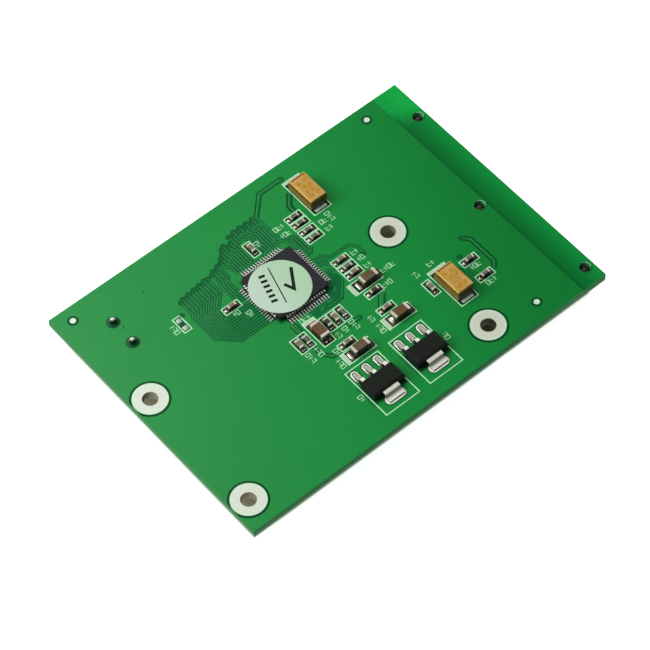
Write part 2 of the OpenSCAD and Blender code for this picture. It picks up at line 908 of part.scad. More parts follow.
circuit_board();
mounting_hole_linings();
bridge_chip_body();
bridge_chip_leads();
inspection_sticker();
regulator_body(LEFT_REGULATOR);  // left_regulator_body
regulator_terminals(LEFT_REGULATOR);  // left_regulator_terminals
regulator_body(RIGHT_REGULATOR);  // right_regulator_body
regulator_terminals(RIGHT_REGULATOR);  // right_regulator_terminals
tantalum_body(UPPER_TANTALUM);  // upper_tantalum_body
tantalum_terminals(UPPER_TANTALUM);  // upper_tantalum_terminals
tantalum_body(LOWER_TANTALUM);  // lower_tantalum_body
tantalum_terminals(LOWER_TANTALUM);  // lower_tantalum_terminals
bulk_capacitor(BULK_CAPACITORS[0]);  // bulk_capacitor_1
bulk_capacitor(BULK_CAPACITORS[1]);  // bulk_capacitor_2
bulk_capacitor(BULK_CAPACITORS[2]);  // bulk_capacitor_3
bulk_capacitor(BULK_CAPACITORS[3]);  // bulk_capacitor_4
small_capacitor(SMALL_CAPACITORS[0]);  // small_capacitor_1
small_capacitor(SMALL_CAPACITORS[1]);  // small_capacitor_2
small_capacitor(SMALL_CAPACITORS[2]);  // small_capacitor_3
small_capacitor(SMALL_CAPACITORS[3]);  // small_capacitor_4
small_capacitor(SMALL_CAPACITORS[4]);  // small_capacitor_5
small_capacitor(SMALL_CAPACITORS[5]);  // small_capacitor_6
small_capacitor(SMALL_CAPACITORS[6]);  // small_capacitor_7
small_capacitor(SMALL_CAPACITORS[7]);  // small_capacitor_8
small_capacitor(SMALL_CAPACITORS[8]);  // small_capacitor_9
resistor(RESISTORS[0]);  // resistor_1
resistor(RESISTORS[1]);  // resistor_2
resistor(RESISTORS[2]);  // resistor_3
resistor(RESISTORS[3]);  // resistor_4
resistor(RESISTORS[4]);  // resistor_5
resistor(RESISTORS[5]);  // resistor_6
resistor(RESISTORS[6]);  // resistor_7
ferrite_bead(FERRITE_BEADS[0]);  // ferrite_bead_1
ferrite_bead(FERRITE_BEADS[1]);  // ferrite_bead_2
ferrite_bead(FERRITE_BEADS[2]);  // ferrite_bead_3
ferrite_bead(FERRITE_BEADS[3]);  // ferrite_bead_4
sata_plug_housing();
sata_signal_contacts();
sata_power_contacts();
sata_plug_anchors();
ribbon_socket_housing();
ribbon_socket_contacts();
ribbon_socket_anchors();
crystal_can();
crystal_header();
crystal_leads();
crystal_solder_joints();
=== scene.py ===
import functools
import math

import bpy
import numpy as np
from mathutils import Matrix, Vector


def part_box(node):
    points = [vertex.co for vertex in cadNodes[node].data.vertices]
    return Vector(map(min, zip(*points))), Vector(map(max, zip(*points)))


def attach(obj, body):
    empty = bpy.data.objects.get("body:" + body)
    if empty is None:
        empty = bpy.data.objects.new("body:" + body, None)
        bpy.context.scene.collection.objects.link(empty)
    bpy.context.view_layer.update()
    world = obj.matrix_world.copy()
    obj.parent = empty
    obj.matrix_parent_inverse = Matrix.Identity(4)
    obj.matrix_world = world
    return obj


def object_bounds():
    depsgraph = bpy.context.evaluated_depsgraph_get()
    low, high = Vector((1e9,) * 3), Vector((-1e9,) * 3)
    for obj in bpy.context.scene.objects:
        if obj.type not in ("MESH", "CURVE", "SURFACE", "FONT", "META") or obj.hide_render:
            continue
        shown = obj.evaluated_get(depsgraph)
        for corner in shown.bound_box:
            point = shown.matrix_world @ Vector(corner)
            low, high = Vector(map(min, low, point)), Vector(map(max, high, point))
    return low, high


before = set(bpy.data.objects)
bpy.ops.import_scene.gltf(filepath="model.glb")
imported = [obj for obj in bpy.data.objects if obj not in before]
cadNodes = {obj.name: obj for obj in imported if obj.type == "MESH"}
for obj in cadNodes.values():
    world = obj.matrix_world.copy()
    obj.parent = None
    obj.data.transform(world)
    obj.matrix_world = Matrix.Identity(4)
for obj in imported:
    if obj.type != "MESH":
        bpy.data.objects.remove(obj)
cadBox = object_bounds()
mm = 0.001
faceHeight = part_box("circuit_board")[1].z
regulators = ("left_regulator_body", "right_regulator_body")
tantalums = ("upper_tantalum_body", "lower_tantalum_body")
print("frame loaded:", len(cadNodes), "nodes")


# Places are in millimetres from the middle of the board, with heights above its upper face

def nodeBox(node):
    # a node's lowest and highest corner
    return [(corner - Vector((0, 0, faceHeight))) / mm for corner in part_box(node)]


def nodePlace(node):
    # the middle of a node, the turn of its long side from X, and its long and short size
    low, high = nodeBox(node)
    x, y = ((low + high) / 2).xy
    sizeX, sizeY = (high - low).xy
    return x, y, 0 if sizeX >= sizeY else 90, max(sizeX, sizeY), min(sizeX, sizeY)


def isleCentres(node, reach):
    # the middles of the separate round pieces in a node
    mesh = cadNodes[node].data
    points = np.empty(len(mesh.vertices) * 3, np.float32)
    mesh.vertices.foreach_get("co", points)
    world = np.array(cadNodes[node].matrix_world)
    points = (points.reshape(-1, 3) @ world[:3, :3].T + world[:3, 3]) / mm
    centres = []
    while len(points):
        near = np.linalg.norm(points[:, :2] - points[0, :2], axis=1) < reach
        group = points[near]
        centres.append((group.min(0) + group.max(0))[:2] / 2)
        points = points[~near]
    return centres


boardLow, boardHigh = nodeBox("circuit_board")
holeCentres = isleCentres("mounting_hole_linings", 6.5)
jointCentres = isleCentres("crystal_solder_joints", 2.5)


# Shapes. A shape is (points, faces).

def joinShapes(shapes):
    # the points one after another, and each shape's faces counted on from the points before it
    points, faces, start = [], [], 0
    for shapePoints, shapeFaces in shapes:
        points.append(shapePoints)
        faces += [[corner + start for corner in face] for face in shapeFaces]
        start += len(shapePoints)
    return np.concatenate(points), faces


def moved(shape, x, y, turn=0.0):
    # a turn about the vertical, then a shift
    points, faces = shape
    c, s = math.cos(math.radians(turn)), math.sin(math.radians(turn))
    result = points.copy()
    result[:, 0] = c * points[:, 0] - s * points[:, 1] + x
    result[:, 1] = s * points[:, 0] + c * points[:, 1] + y
    return result, faces


def atAll(shape, places, turn=0.0):
    # a copy of the shape at each place
    return [moved(shape, x, y, turn) for x, y in places]


def gridFaces(rows, columns, wrap=False):
    # quads between neighbouring rows of a grid, whose columns may close on themselves
    across = columns if wrap else columns - 1
    i, j = np.meshgrid(np.arange(rows - 1), np.arange(across), indexing="ij")
    k = (j + 1) % columns
    quads = [i * columns + j, i * columns + k, (i + 1) * columns + k, (i + 1) * columns + j]
    return np.stack(quads, -1).reshape(-1, 4).tolist()


def roundedOutline(length, width, corner, steps=4):
    # four quarter circles of the corner's radius, joined by straight sides
    corner = max(min(corner, length / 2, width / 2), 1e-4)
    quarter = np.linspace(0, math.pi / 2, steps)
    angle = (quarter[None, :] + np.arange(4)[:, None] * math.pi / 2).ravel()
    signX = np.repeat([1, -1, -1, 1], steps)
    signY = np.repeat([1, 1, -1, -1], steps)
    x = signX * (length / 2 - corner) + corner * np.cos(angle)
    y = signY * (width / 2 - corner) + corner * np.sin(angle)
    return np.stack([x, y], -1)


def plate(length, width, corner, low, high, bevel=0.01, crown=0.0, rings=1, steps=4):
    # rings of the outline: at the foot, at the shoulder, then shrinking to the middle while the
    # height grows by crown times one minus the square of the ring's size
    outline = roundedOutline(length, width, corner, steps)
    inner = roundedOutline(length - 2 * bevel, width - 2 * bevel, corner - bevel, steps)
    count = len(outline)
    layers = [np.c_[outline, np.full(count, low)], np.c_[outline, np.full(count, high - bevel)]]
    for size in np.linspace(1, 0, rings + 1)[:-1]:
        layers.append(np.c_[inner * size, np.full(count, high + crown * (1 - size * size))])
    points = np.concatenate(layers + [[[0, 0, high + crown]]])
    faces = gridFaces(len(layers), count, wrap=True)
    tip, last = len(points) - 1, (len(layers) - 1) * count
    faces += [[last + j, last + (j + 1) % count, tip] for j in range(count)]
    faces.append(list(range(count))[::-1])
    return points, faces


def turnedRing(profile, steps=48):
    # a closed profile of radius and height carried once round the vertical axis
    angle = np.linspace(0, 2 * math.pi, steps, endpoint=False)[:, None]
    radius, height = np.asarray(profile, float).T
    levels = np.broadcast_to(height, (steps, len(height)))
    rings = [np.cos(angle) * radius, np.sin(angle) * radius, levels]
    count = len(profile)
    i, j = np.meshgrid(np.arange(steps), np.arange(count), indexing="ij")
    iNext, jNext = (i + 1) % steps, (j + 1) % count
    quads = [i * count + j, iNext * count + j, iNext * count + jNext, i * count + jNext]
    return np.stack(rings, -1).reshape(-1, 3), np.stack(quads, -1).reshape(-1, 4).tolist()


def strip(path, width, low, high, shoulder=0.04, closed=False):
    # a trapezium carried along a path; at a corner the offset is the sum of the two sides'
    # normals over one plus the cosine between them, which keeps the width
    path = np.asarray(path, float)
    step = np.diff(np.vstack([path, path[:1]]) if closed else path, axis=0)
    step /= np.linalg.norm(step, axis=1)[:, None]
    normal = np.stack([-step[:, 1], step[:, 0]], -1)
    if closed:
        before, after = np.roll(normal, 1, axis=0), normal
    else:
        before, after = np.vstack([normal[:1], normal]), np.vstack([normal, normal[-1:]])
    offset = (before + after) / (1 + (before * after).sum(1))[:, None]
    across = np.array([0.5, 0.5 - shoulder / width, shoulder / width - 0.5, -0.5]) * width
    points = np.empty((len(path), 4, 3))
    points[:, :, :2] = path[:, None, :] + offset[:, None, :] * across[None, :, None]
    points[:, :, 2] = [low, high, high, low]
    faces = gridFaces(len(path), 4, wrap=True)
    last = (len(path) - 1) * 4
    if closed:
        faces += [[last + j, last + (j + 1) % 4, (j + 1) % 4, j] for j in range(4)]
    else:
        faces += [[3, 2, 1, 0], [last, last + 1, last + 2, last + 3]]
    return points.reshape(-1, 3), faces


def closedPatch(x, y, z, low):
    # a grid of heights closed by a flat copy of itself underneath
    rows, columns = x.shape
    count = rows * columns
    top = np.stack([x, y, z], -1).reshape(-1, 3)
    floor = np.c_[top[:, :2], np.full(count, low)]
    faces = gridFaces(rows, columns)
    faces += [[corner + count for corner in face][::-1] for face in faces]
    index = np.arange(count).reshape(rows, columns)
    sides = [index[0], index[1:, -1], index[-1, -2::-1], index[-2:0:-1, 0]]
    edge = np.concatenate(sides).tolist()
    faces += [[b, a, a + count, b + count] for a, b in zip(edge, edge[1:] + edge[:1])]
    return np.concatenate([top, floor]), faces


def addPiece(name, shapes, material, under=False):
    # under the board, heights count downwards from its lower face
    points, faces = joinShapes(shapes)
    if under:
        points[:, 2] = boardLow.z - points[:, 2]
        faces = [corners[::-1] for corners in faces]
    points = points * mm + [0, 0, faceHeight]
    mesh = bpy.data.meshes.new(name)
    mesh.from_pydata(points.tolist(), [], faces)
    mesh.polygons.foreach_set("use_smooth", np.ones(len(mesh.polygons), bool))
    mesh.set_sharp_from_angle(angle=math.radians(35))
    mesh.validate()
    mesh.update()
    piece = bpy.data.objects.new(name, mesh)
    bpy.context.scene.collection.objects.link(piece)
    mesh.materials.append(material)
    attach(piece, "root")


# Materials. A Field is a number, colour or shader that varies over a surface, and what is done
# with fields becomes shader nodes.

def feed(socket, value):
    # a field is linked to the socket, and a plain value is set on it
    if isinstance(value, Field):
        socket.id_data.links.new(value.socket, socket)
    else:
        socket.default_value = (*value, 1) if socket.type == "RGBA" else value


def addNode(tree, kind, inputs=None, **settings):
    node = tree.nodes.new("ShaderNode" + kind)
    for name, value in settings.items():
        setattr(node, name, value)
    for key, value in (inputs or {}).items():
        feed(node.inputs[key], value)
    return node


class Field:
    def __init__(self, node, output=0):
        self.socket = node.outputs[output]
        self.tree = node.id_data

    def maths(self, operation, *others):
        inputs = dict(enumerate((self, *others)))
        return Field(addNode(self.tree, "Math", inputs, operation=operation))

    def __add__(self, other):
        return self.maths("ADD", other)

    def __sub__(self, other):
        return self.maths("SUBTRACT", other)

    def __mul__(self, other):
        return self.maths("MULTIPLY", other)

    def __truediv__(self, other):
        return self.maths("DIVIDE", other)

    def __lt__(self, other):
        return self.maths("LESS_THAN", other)

    def __gt__(self, other):
        return self.maths("GREATER_THAN", other)

    def __abs__(self):
        return self.maths("ABSOLUTE")

    def larger(self, other):
        return self.maths("MAXIMUM", other)

    def smaller(self, other):
        return self.maths("MINIMUM", other)

    def wave(self, length):
        # a sine that comes back after each length
        return (self * (2 * math.pi / length)).maths("SINE")

    def ramp(self, low, high, atLow, atHigh, curve="LINEAR"):
        # the range from low to high carried over to another range, and held at its ends
        inputs = {"Value": self, "From Min": low, "From Max": high, "To Min": atLow, "To Max": atHigh}
        return Field(addNode(self.tree, "MapRange", inputs, interpolation_type=curve))

    def step(self, start, end):
        # 0 up to the start, 1 past the end and a smooth curve between them; with the start
        # above the end it falls as the field grows
        return self.ramp(start, end, 0.0, 1.0, "SMOOTHSTEP")

    def mix(self, first, second):
        # the first colour where the field is 0 and the second where it is 1
        return Field(addNode(self.tree, "Mix", {0: self, 6: first, 7: second}, data_type="RGBA"), 2)

    def speckle(self, colour, amount):
        # the colour made darker and lighter by a share as the field goes from 0 to 1
        dark = tuple(channel * (1 - amount) for channel in colour)
        light = tuple(min(channel * (1 + amount), 1) for channel in colour)
        return self.mix(dark, light)


def axes(tree, source="Object"):
    # the three coordinates as fields, in metres
    split = addNode(tree, "SeparateXYZ", {0: Field(addNode(tree, "TexCoord"), source)})
    return [Field(split, i) for i in range(3)]


class Paint:
    # a material, and the fields that its formula starts from
    def __init__(self, name, **shader):
        self.material = bpy.data.materials.new(name)
        self.material.use_nodes = True
        self.tree = self.material.node_tree
        self.surface = self.tree.nodes["Principled BSDF"]
        self.set(**shader)

    def set(self, **sockets):
        for name, value in sockets.items():
            feed(self.surface.inputs[name.replace("_", " ")], value)

    def place(self):
        # where a point lies, in millimetres and with the height above the board's face
        x, y, z = axes(self.tree)
        return x / mm, y / mm, (z - faceHeight) / mm

    def noise(self, scale, detail=3.0, roughness=0.5, stretch=None):
        # clouds from 0 to 1 that are finer the larger the scale is
        place = Field(addNode(self.tree, "TexCoord"), "Object")
        if stretch:
            place = Field(addNode(self.tree, "Mapping", {"Vector": place, "Scale": stretch}))
        inputs = {"Vector": place, "Scale": scale, "Detail": detail, "Roughness": roughness}
        return Field(addNode(self.tree, "TexNoise", inputs), "Fac")

    def bump(self, height, strength, depth=0.02):
        # the surface tilted as if it rose with the height, up to a depth in millimetres
        inputs = {"Height": height, "Strength": strength, "Distance": depth * mm}
        self.set(Normal=Field(addNode(self.tree, "Bump", inputs)))

    def facing(self, direction):
        # the cosine between the surface's own normal and a direction
        inputs = {0: Field(addNode(self.tree, "NewGeometry"), "Normal"), 1: direction}
        return Field(addNode(self.tree, "VectorMath", inputs, operation="DOT_PRODUCT"), "Value")

    def fromCentres(self, centres):
        # the distance along the board to the nearest of some centres
        x, y, z = self.place()
        flat = Field(addNode(self.tree, "CombineXYZ", {0: x, 1: y}))
        away = [addNode(self.tree, "VectorMath", {0: flat, 1: (*centre, 0)}, operation="DISTANCE")
                for centre in centres]
        return functools.reduce(Field.smaller, [Field(node, "Value") for node in away])

    def besideBoxes(self, nodes, reach, shiftX=0.0, shiftY=0.0):
        # 1 under and 0 beyond the given reach of some nodes' boxes; the distance is the larger
        # of the two overhangs along X and Y
        x, y, z = self.place()
        away = []
        for node in nodes:
            low, high = nodeBox(node)
            middle, half = (low + high) / 2, (high - low) / 2
            overX = abs(x - (middle.x + shiftX)) - half.x
            overY = abs(y - (middle.y + shiftY)) - half.y
            away.append(overX.larger(overY))
        return functools.reduce(Field.smaller, away).step(reach, 0.0)


lacquer = {
    "poured": (0.0035, 0.248, 0.040),
    "far": (0.0026, 0.192, 0.028),
    "drift": (8, 36),
    "driftLean": -0.35,
    "cloud": 0.07,
    "thread": (0.05, 0.36, 0.12),
    "threadShare": 0.02,
    "clear": (0.003, 0.165, 0.028),
    "clearLit": (0.008, 0.400, 0.065),
    "edgeLight": 0.45,
    "cornerLight": 0.75,
    "rim": (0.004, 0.080, 0.024),
    "rimShare": 0.55,
    "beside": (0.002, 0.022, 0.010),
    "besideReach": 0.75,
    "besideShift": (-0.12, -0.18),
    "besideShare": 0.9,
    "caseReach": 0.5,
    "caseShare": 0.8,
    "roughness": 0.27,
    "nearGloss": 0.41,
    "farGloss": 0.16,
    "clearGloss": 0.4,
    "clearEdge": 31.2,
    "plugTop": 18.8,
}

laminate = {
    "upper": (0.012, 0.170, 0.042),
    "upperFar": (0.085, 0.380, 0.145),
    "upperDrift": (14, 34),
    "lower": (0.270, 0.430, 0.290),
    "lowerShare": 0.52,
    "fibre": (0.03, 0.13, 0.05),
    "fibreShare": 0.25,
    "layers": 8,
    "layerShare": 0.12,
    "threadPitch": 0.5,
    "roughness": 0.8,
}


def makeBoard():
    # poured lacquer over woven cloth, a clear strip along the plug's edge, and bare sawn walls
    paint = Paint("boardLacquer")
    x, y, z = paint.place()
    # the cloth inside the laminate is the product of a sine along X and a sine along Y
    weave = x.wave(laminate["threadPitch"]) * y.wave(laminate["threadPitch"])
    poured = paint.noise(90, 2).speckle(lacquer["poured"], lacquer["cloud"])
    # painted shade: the lacquer is darker towards the right end, more so towards the front edge
    drift = (y * lacquer["driftLean"] + x).step(*lacquer["drift"])
    poured = drift.mix(poured, lacquer["far"])
    thread = weave * lacquer["threadShare"] + lacquer["threadShare"]
    poured = thread.mix(poured, lacquer["thread"])
    # the copper stops short of the plug's edge, where light comes through the laminate
    clearEdge, plugTop = lacquer["clearEdge"], lacquer["plugTop"]
    towardsEdge = x.step(clearEdge + 1, boardHigh.x) * lacquer["edgeLight"]
    pastPlug = y.step(plugTop - 2.5, plugTop + 3) * lacquer["cornerLight"]
    clear = (towardsEdge + pastPlug).smaller(1.0).mix(lacquer["clear"], lacquer["clearLit"])
    onClear = x.step(clearEdge - 0.04, clearEdge + 0.04)
    face = onClear.mix(poured, clear)
    # painted shade: the clear strip is darker just past the copper's edge and fades outwards, and it
    # ends before the far corner
    past = x - clearEdge
    rim = past.step(-0.12, 0.08) * past.step(1.0, 0.1) * y.step(plugTop + 3.5, plugTop)
    face = (rim * lacquer["rimShare"]).mix(face, lacquer["rim"])
    # painted shadow: the upper face is darkened beside the regulators, shifted a little to their front
    # left, and beside the chip and the tantalums
    beside = paint.besideBoxes(regulators, lacquer["besideReach"], *lacquer["besideShift"])
    besideCases = paint.besideBoxes(("bridge_chip_body", *tantalums), lacquer["caseReach"])
    beside = beside.larger(besideCases * lacquer["caseShare"]) * (z > boardLow.z / 2)
    face = (beside * lacquer["besideShare"]).mix(face, lacquer["beside"])
    # the sawn walls grow paler downwards and show the laminate's layers
    height = z / -boardLow.z + 1.0
    fibre = paint.noise(2500, 3, stretch=(1, 1, 6))
    # painted light: the upper wall is paler towards the right, where light comes through the laminate
    upper = x.step(*laminate["upperDrift"]).mix(laminate["upper"], laminate["upperFar"])
    wall = height.step(0.0, laminate["lowerShare"]).mix(laminate["lower"], upper)
    grain = height.wave(1 / laminate["layers"]) * laminate["layerShare"] + fibre
    wall = (grain * laminate["fibreShare"]).mix(wall, laminate["fibre"])
    onWall = (z < -0.002) * (z > boardLow.z + 0.002)
    gloss = x.ramp(boardLow.x, boardHigh.x, lacquer["nearGloss"], lacquer["farGloss"])
    paint.set(Base_Color=onWall.mix(face, wall),
              Specular_IOR_Level=gloss * onClear.ramp(0, 1, 1.0, lacquer["clearGloss"]),
              Roughness=onWall.ramp(0, 1, lacquer["roughness"], laminate["roughness"]))
    paint.bump(paint.noise(700, 2) + weave * 0.12 + onWall * fibre, 0.25)
    return paint.material


linings = {
    "innerNear": (0.68, 0.74, 0.64),
    "inner": (0.635, 0.68, 0.56),
    "innerDrift": (-14, 4),
    "outer": (0.60, 0.79, 0.61),
    "outerRadii": (2.1, 2.8),
    "worn": (0.42, 0.40, 0.33),
    "circlePitch": 0.33,
    "circleShare": 0.03,
    "wornShare": 0.16,
    "barrelNear": (0.225, 0.205, 0.130),
    "barrelFar": (0.050, 0.048, 0.028),
    "barrelBack": (0.300, 0.305, 0.215),
}


def makeLining():
    # bright tin on both flat lands, greener towards the rim, and a brown barrel between them, with
    # painted light and shade on both
    paint = Paint("holeLining", Metallic=0.25, Roughness=0.5)
    x, y, z = paint.place()
    pattern = paint.noise(900, 4, 0.6)
    away = paint.fromCentres(holeCentres)
    # painted light: the lands are lighter at the left
    inner = x.step(*linings["innerDrift"]).mix(linings["innerNear"], linings["inner"])
    land = away.step(*linings["outerRadii"]).mix(inner, linings["outer"])
    # the drill and the brush leave faint circles, a sine of the distance from the hole
    wear = away.wave(linings["circlePitch"]) * linings["circleShare"] + pattern * linings["wornShare"]
    land = wear.mix(land, linings["worn"])
    # painted light and shade: the barrels are lighter in the left holes and in the back right one, and
    # dark in the front right one
    barrel = x.step(-2, 2).mix(linings["barrelNear"], linings["barrelFar"])
    back = (x > 0.0) * y.step(-6, -2)
    barrel = back.mix(barrel, linings["barrelBack"])
    inside = (z < -0.01) * (z > boardLow.z + 0.01)
    paint.set(Base_Color=inside.mix(land, barrel))
    paint.bump(pattern, 0.25)
    return paint.material


# painted light and shade: faces that look up are painted bright and the rest dark; "turn" is how far a
# face has to look up to be bright, and "top" the height where bright ends
leadTins = {
    "leadTin": {"flat": (0.66, 0.67, 0.60), "wall": (0.060, 0.062, 0.046),
                "turn": (0.6, 0.93), "metallic": 0.7, "top": None},
    "chipTin": {"flat": (0.58, 0.64, 0.56), "wall": (0.020, 0.020, 0.014),
                "turn": (0.45, 0.85), "metallic": 0.35, "top": None},
    "strapTin": {"flat": (0.80, 0.81, 0.72), "wall": (0.048, 0.038, 0.018),
                 "turn": (0.6, 0.93), "metallic": 0.15, "top": 0.4},
}
leadGrain = 2200
leadRoughness = 0.42


def makeLeadTin(name):
    # satin tin, painted bright on the flats that look up and dark, as painted shade, on the bends and
    # cut sides
    tones = leadTins[name]
    paint = Paint(name, Metallic=tones["metallic"], Roughness=leadRoughness)
    pattern = paint.noise(leadGrain, 4, 0.6)
    flat = abs(paint.facing((0, 0, 1))).step(*tones["turn"])
    if tones["top"]:
        flat = flat * (paint.place()[2] < tones["top"])
    paint.set(Base_Color=flat.mix(tones["wall"], pattern.speckle(tones["flat"], 0.10)))
    paint.bump(pattern, 0.3)
    return paint.material


regulatorTin = {
    "flat": (0.88, 0.89, 0.79),
    "leadFoot": (0.46, 0.50, 0.41),
    "footTop": 0.4,
    "leadWall": (0.040, 0.040, 0.026),
    "tabWall": (0.20, 0.20, 0.155),
    "tabHeel": (0.80, 0.81, 0.72),
    "heelStart": (0.30, 0.75),
    "heelEnd": (1.35, 1.15),
}


def makeRegulatorTin(body, terminals):
    # painted light and shade: the flats that look up are bright and the leads' sides and the tab's
    # walls dark, the heel of the wide tab's foot carries painted shade, and the leads' feet are darker
    low, high = nodeBox(body)
    paint = Paint("tin_" + terminals, Metallic=0.55, Roughness=leadRoughness)
    x, y, z = paint.place()
    onTab = y < (low.y + high.y) / 2
    beyond = y * -1.0 + low.y
    heel = beyond.step(*regulatorTin["heelStart"]) * beyond.step(*regulatorTin["heelEnd"])
    flat = paint.noise(leadGrain, 4, 0.6).speckle(regulatorTin["flat"], 0.08)
    flat = (heel * onTab).mix(flat, regulatorTin["tabHeel"])
    onFoot = ((z < regulatorTin["footTop"]) - onTab).larger(0.0)
    flat = onFoot.mix(flat, regulatorTin["leadFoot"])
    wall = onTab.mix(regulatorTin["leadWall"], regulatorTin["tabWall"])
    paint.set(Base_Color=abs(paint.facing((0, 0, 1))).step(0.5, 0.9).mix(wall, flat))
    paint.bump(paint.noise(leadGrain, 3, 0.6, (1, 0.2, 1)), 0.3)
    return paint.material


joint = {
    "bright": (0.60, 0.66, 0.57),
    "shadedSide": (0.008, 0.034, 0.013),
    "towards": (0.15, 0.45, 0.88),
    "turn": (0.60, 0.88),
    "foot": (0.004, 0.072, 0.022),
    "footRadii": (0.56, 0.74),
}


def makeJointSolder():
    # painted light and shade: the peak is painted bright, with more gloss, on the side turned to the
    # back and near black on the other; the foot is painted dark green, as the shaded lacquer round the
    # joint
    paint = Paint("jointSolder", Metallic=0.05, Roughness=0.55)
    pattern = paint.noise(1600, 3, 0.6)
    lit = paint.facing(joint["towards"]).step(*joint["turn"])
    peak = lit.mix(joint["shadedSide"], pattern.speckle(joint["bright"], 0.08))
    foot = paint.fromCentres(jointCentres).step(*joint["footRadii"])
    paint.set(Base_Color=foot.mix(peak, joint["foot"]), Specular_IOR_Level=lit * 0.22 + 0.06)
    paint.bump(pattern, 0.3)
    return paint.material


filletTones = {
    "solder": (0.085, 0.078, 0.052),
    "climbTone": (0.045, 0.038, 0.022),
    "climb": (0.05, 0.17),
}


def makeFilletSolder():
    # painted reflection: the solder is dark, as the dark it reflects, and darker still where it climbs
    # the part
    paint = Paint("darkFilletSolder", Metallic=1.0, Roughness=0.24)
    pattern = paint.noise(1600, 4, 0.6)
    climb = paint.place()[2].step(*filletTones["climb"])
    paint.set(Base_Color=climb.mix(pattern.speckle(filletTones["solder"], 0.12), filletTones["climbTone"]))
    paint.bump(pattern, 0.5)
    return paint.material


sticker = {
    "left": (0.49, 0.645, 0.53),
    "right": (0.39, 0.62, 0.40),
    "drift": (-3.6, 3.2),
    "fibre": (0.75, 0.80, 0.74),
    "fibreShare": 0.12,
    "ink": 0.012,
    "lean": 16,
}


def makeSticker():
    # the paper's tint drifts from left to right across the divider
    paint = Paint("stickerPaper", Roughness=0.42, Specular_IOR_Level=0.2)
    across = (paint.place()[0] - nodePlace("inspection_sticker")[0]).step(*sticker["drift"])
    tone = across.mix(sticker["left"], sticker["right"])
    fibre = paint.noise(1800, 4, 0.65)
    paint.set(Base_Color=(fibre * sticker["fibreShare"]).mix(tone, sticker["fibre"]))
    paint.bump(fibre, 0.2, 0.01)
    return paint.material


# heights on the walls are counted from the top or from the foot of the case
tantalum = {
    "resin": (0.50, 0.275, 0.046),
    "worn": (0.58, 0.33, 0.10),
    "edge": (0.60, 0.47, 0.15),
    "edgeReach": (-0.30, -0.16),
    "edgeShare": 0.75,
    "stripe": (0.22, 0.100, 0.016),
    "stripeStart": 0.55,
    "stripeEnd": 0.20,
    "wallTop": (-0.11, -0.20),
    "upperWall": (0.20, 0.100, 0.008),
    "parting": (1.3, 1.05),
    "lowerWall": (0.25, 0.175, 0.040),
    "foot": (0.05, 0.022, 0.003),
    "footTop": (0.55, 0.15),
}


def makeTantalum(node):
    # ochre resin with a darker polarity stripe moulded across the far end
    low, high = nodeBox(node)
    middle, half = (low + high) / 2, (high - low) / 2
    paint = Paint("resin_" + node, Roughness=0.42, Specular_IOR_Level=0.2)
    x, y, z = paint.place()
    fine = paint.noise(4200, 3, 0.6)
    tone = fine.speckle(tantalum["resin"], 0.24)
    tone = paint.noise(700, 3).step(0.45, 0.65).mix(tone, tantalum["worn"])
    start, end = high.y - tantalum["stripeStart"], high.y - tantalum["stripeEnd"]
    onStripe = y.step(start - 0.05, start + 0.05) * y.step(end + 0.05, end - 0.05)
    tone = onStripe.mix(tone, tantalum["stripe"])
    # the top is painted paler along its rim, as a highlight on the case's edges: the larger of the
    # reaches along X and Y picks the rim of the top
    reach = (abs(x - middle.x) - half.x).larger(abs(y - middle.y) - half.y)
    onEdge = reach.step(*tantalum["edgeReach"]) * tantalum["edgeShare"]
    tone = onEdge.mix(tone, tantalum["edge"])
    # painted shade: the walls are darker than the top, brown above the parting line, paler below it,
    # and dark at the foot as painted shadow
    up, down = z - low.z, z - high.z
    side = up.step(*tantalum["parting"]).mix(tantalum["upperWall"], tantalum["lowerWall"])
    side = up.step(*tantalum["footTop"]).mix(side, tantalum["foot"])
    paint.set(Base_Color=down.step(*tantalum["wallTop"]).mix(tone, side))
    paint.bump(fine, 0.3, 0.012)
    return paint.material


chipParts = {
    "bulk_capacitor": {"colour": (0.125, 0.064, 0.026), "roughness": 0.65, "capShare": 0.155},
    "small_capacitor": {"colour": (0.190, 0.175, 0.110), "roughness": 0.5, "capShare": 0.2},
    "resistor": {"colour": (0.026, 0.028, 0.022), "roughness": 0.42, "capShare": 0.2},
    "ferrite_bead": {"colour": (0.040, 0.036, 0.030), "roughness": 0.55, "capShare": 0.2},
}

chipTones = {
    "olive": (0.115, 0.092, 0.050),
    "olivePatched": ("bulk_capacitor_1", "bulk_capacitor_3"),
    "tin": (0.58, 0.55, 0.46),
    "wobble": 0.1,
    "shade": (0.006, 0.007, 0.004),
    "endShade": (0.090, 0.078, 0.046),
    "turned": (0.35, 0.8),
}


def makeChipPart(node):
    # tin over both ends of the long side, ceramic or glass between them, with a wavy border
    low, high = nodeBox(node)
    size, middle = high - low, (low + high) / 2
    along = 0 if size.x > size.y else 1
    tones = chipParts[node.rsplit("_", 1)[0]]
    paint = Paint("ends_" + node, Roughness=tones["roughness"], Specular_IOR_Level=0.25)
    place = paint.place()
    wobble = (paint.noise(1500, 2) - 0.5) * chipTones["wobble"]
    border = size[along] * (0.5 - tones["capShare"])
    onTin = (abs(place[along] - middle[along]) + wobble).step(border - 0.02, border + 0.02)
    grain = paint.noise(3800, 3, 0.65)
    body = grain.speckle(tones["colour"], 0.28)
    if node in chipTones["olivePatched"]:
        body = paint.noise(900, 2).step(0.35, 0.6).mix(body, chipTones["olive"])
    tone = onTin.mix(body, grain.speckle(chipTones["tin"], 0.12))
    # the wall turned to the front is in the board's own shade, and so is the foot of each part
    if along == 0:
        end = paint.facing((-1, 0, 0)).step(*chipTones["turned"]) * 0.7
        tone = end.mix(tone, chipTones["endShade"])
    front = paint.facing((0, -1, 0)).step(*chipTones["turned"]) * (0.6 if along else 0.85)
    foot = place[2].step(high.z - 0.10, low.z + 0.2 * size.z) * 0.85
    paint.set(Base_Color=front.larger(foot).mix(tone, chipTones["shade"]), Metallic=onTin * 0.55)
    paint.bump(grain, 0.3, 0.01)
    return paint.material


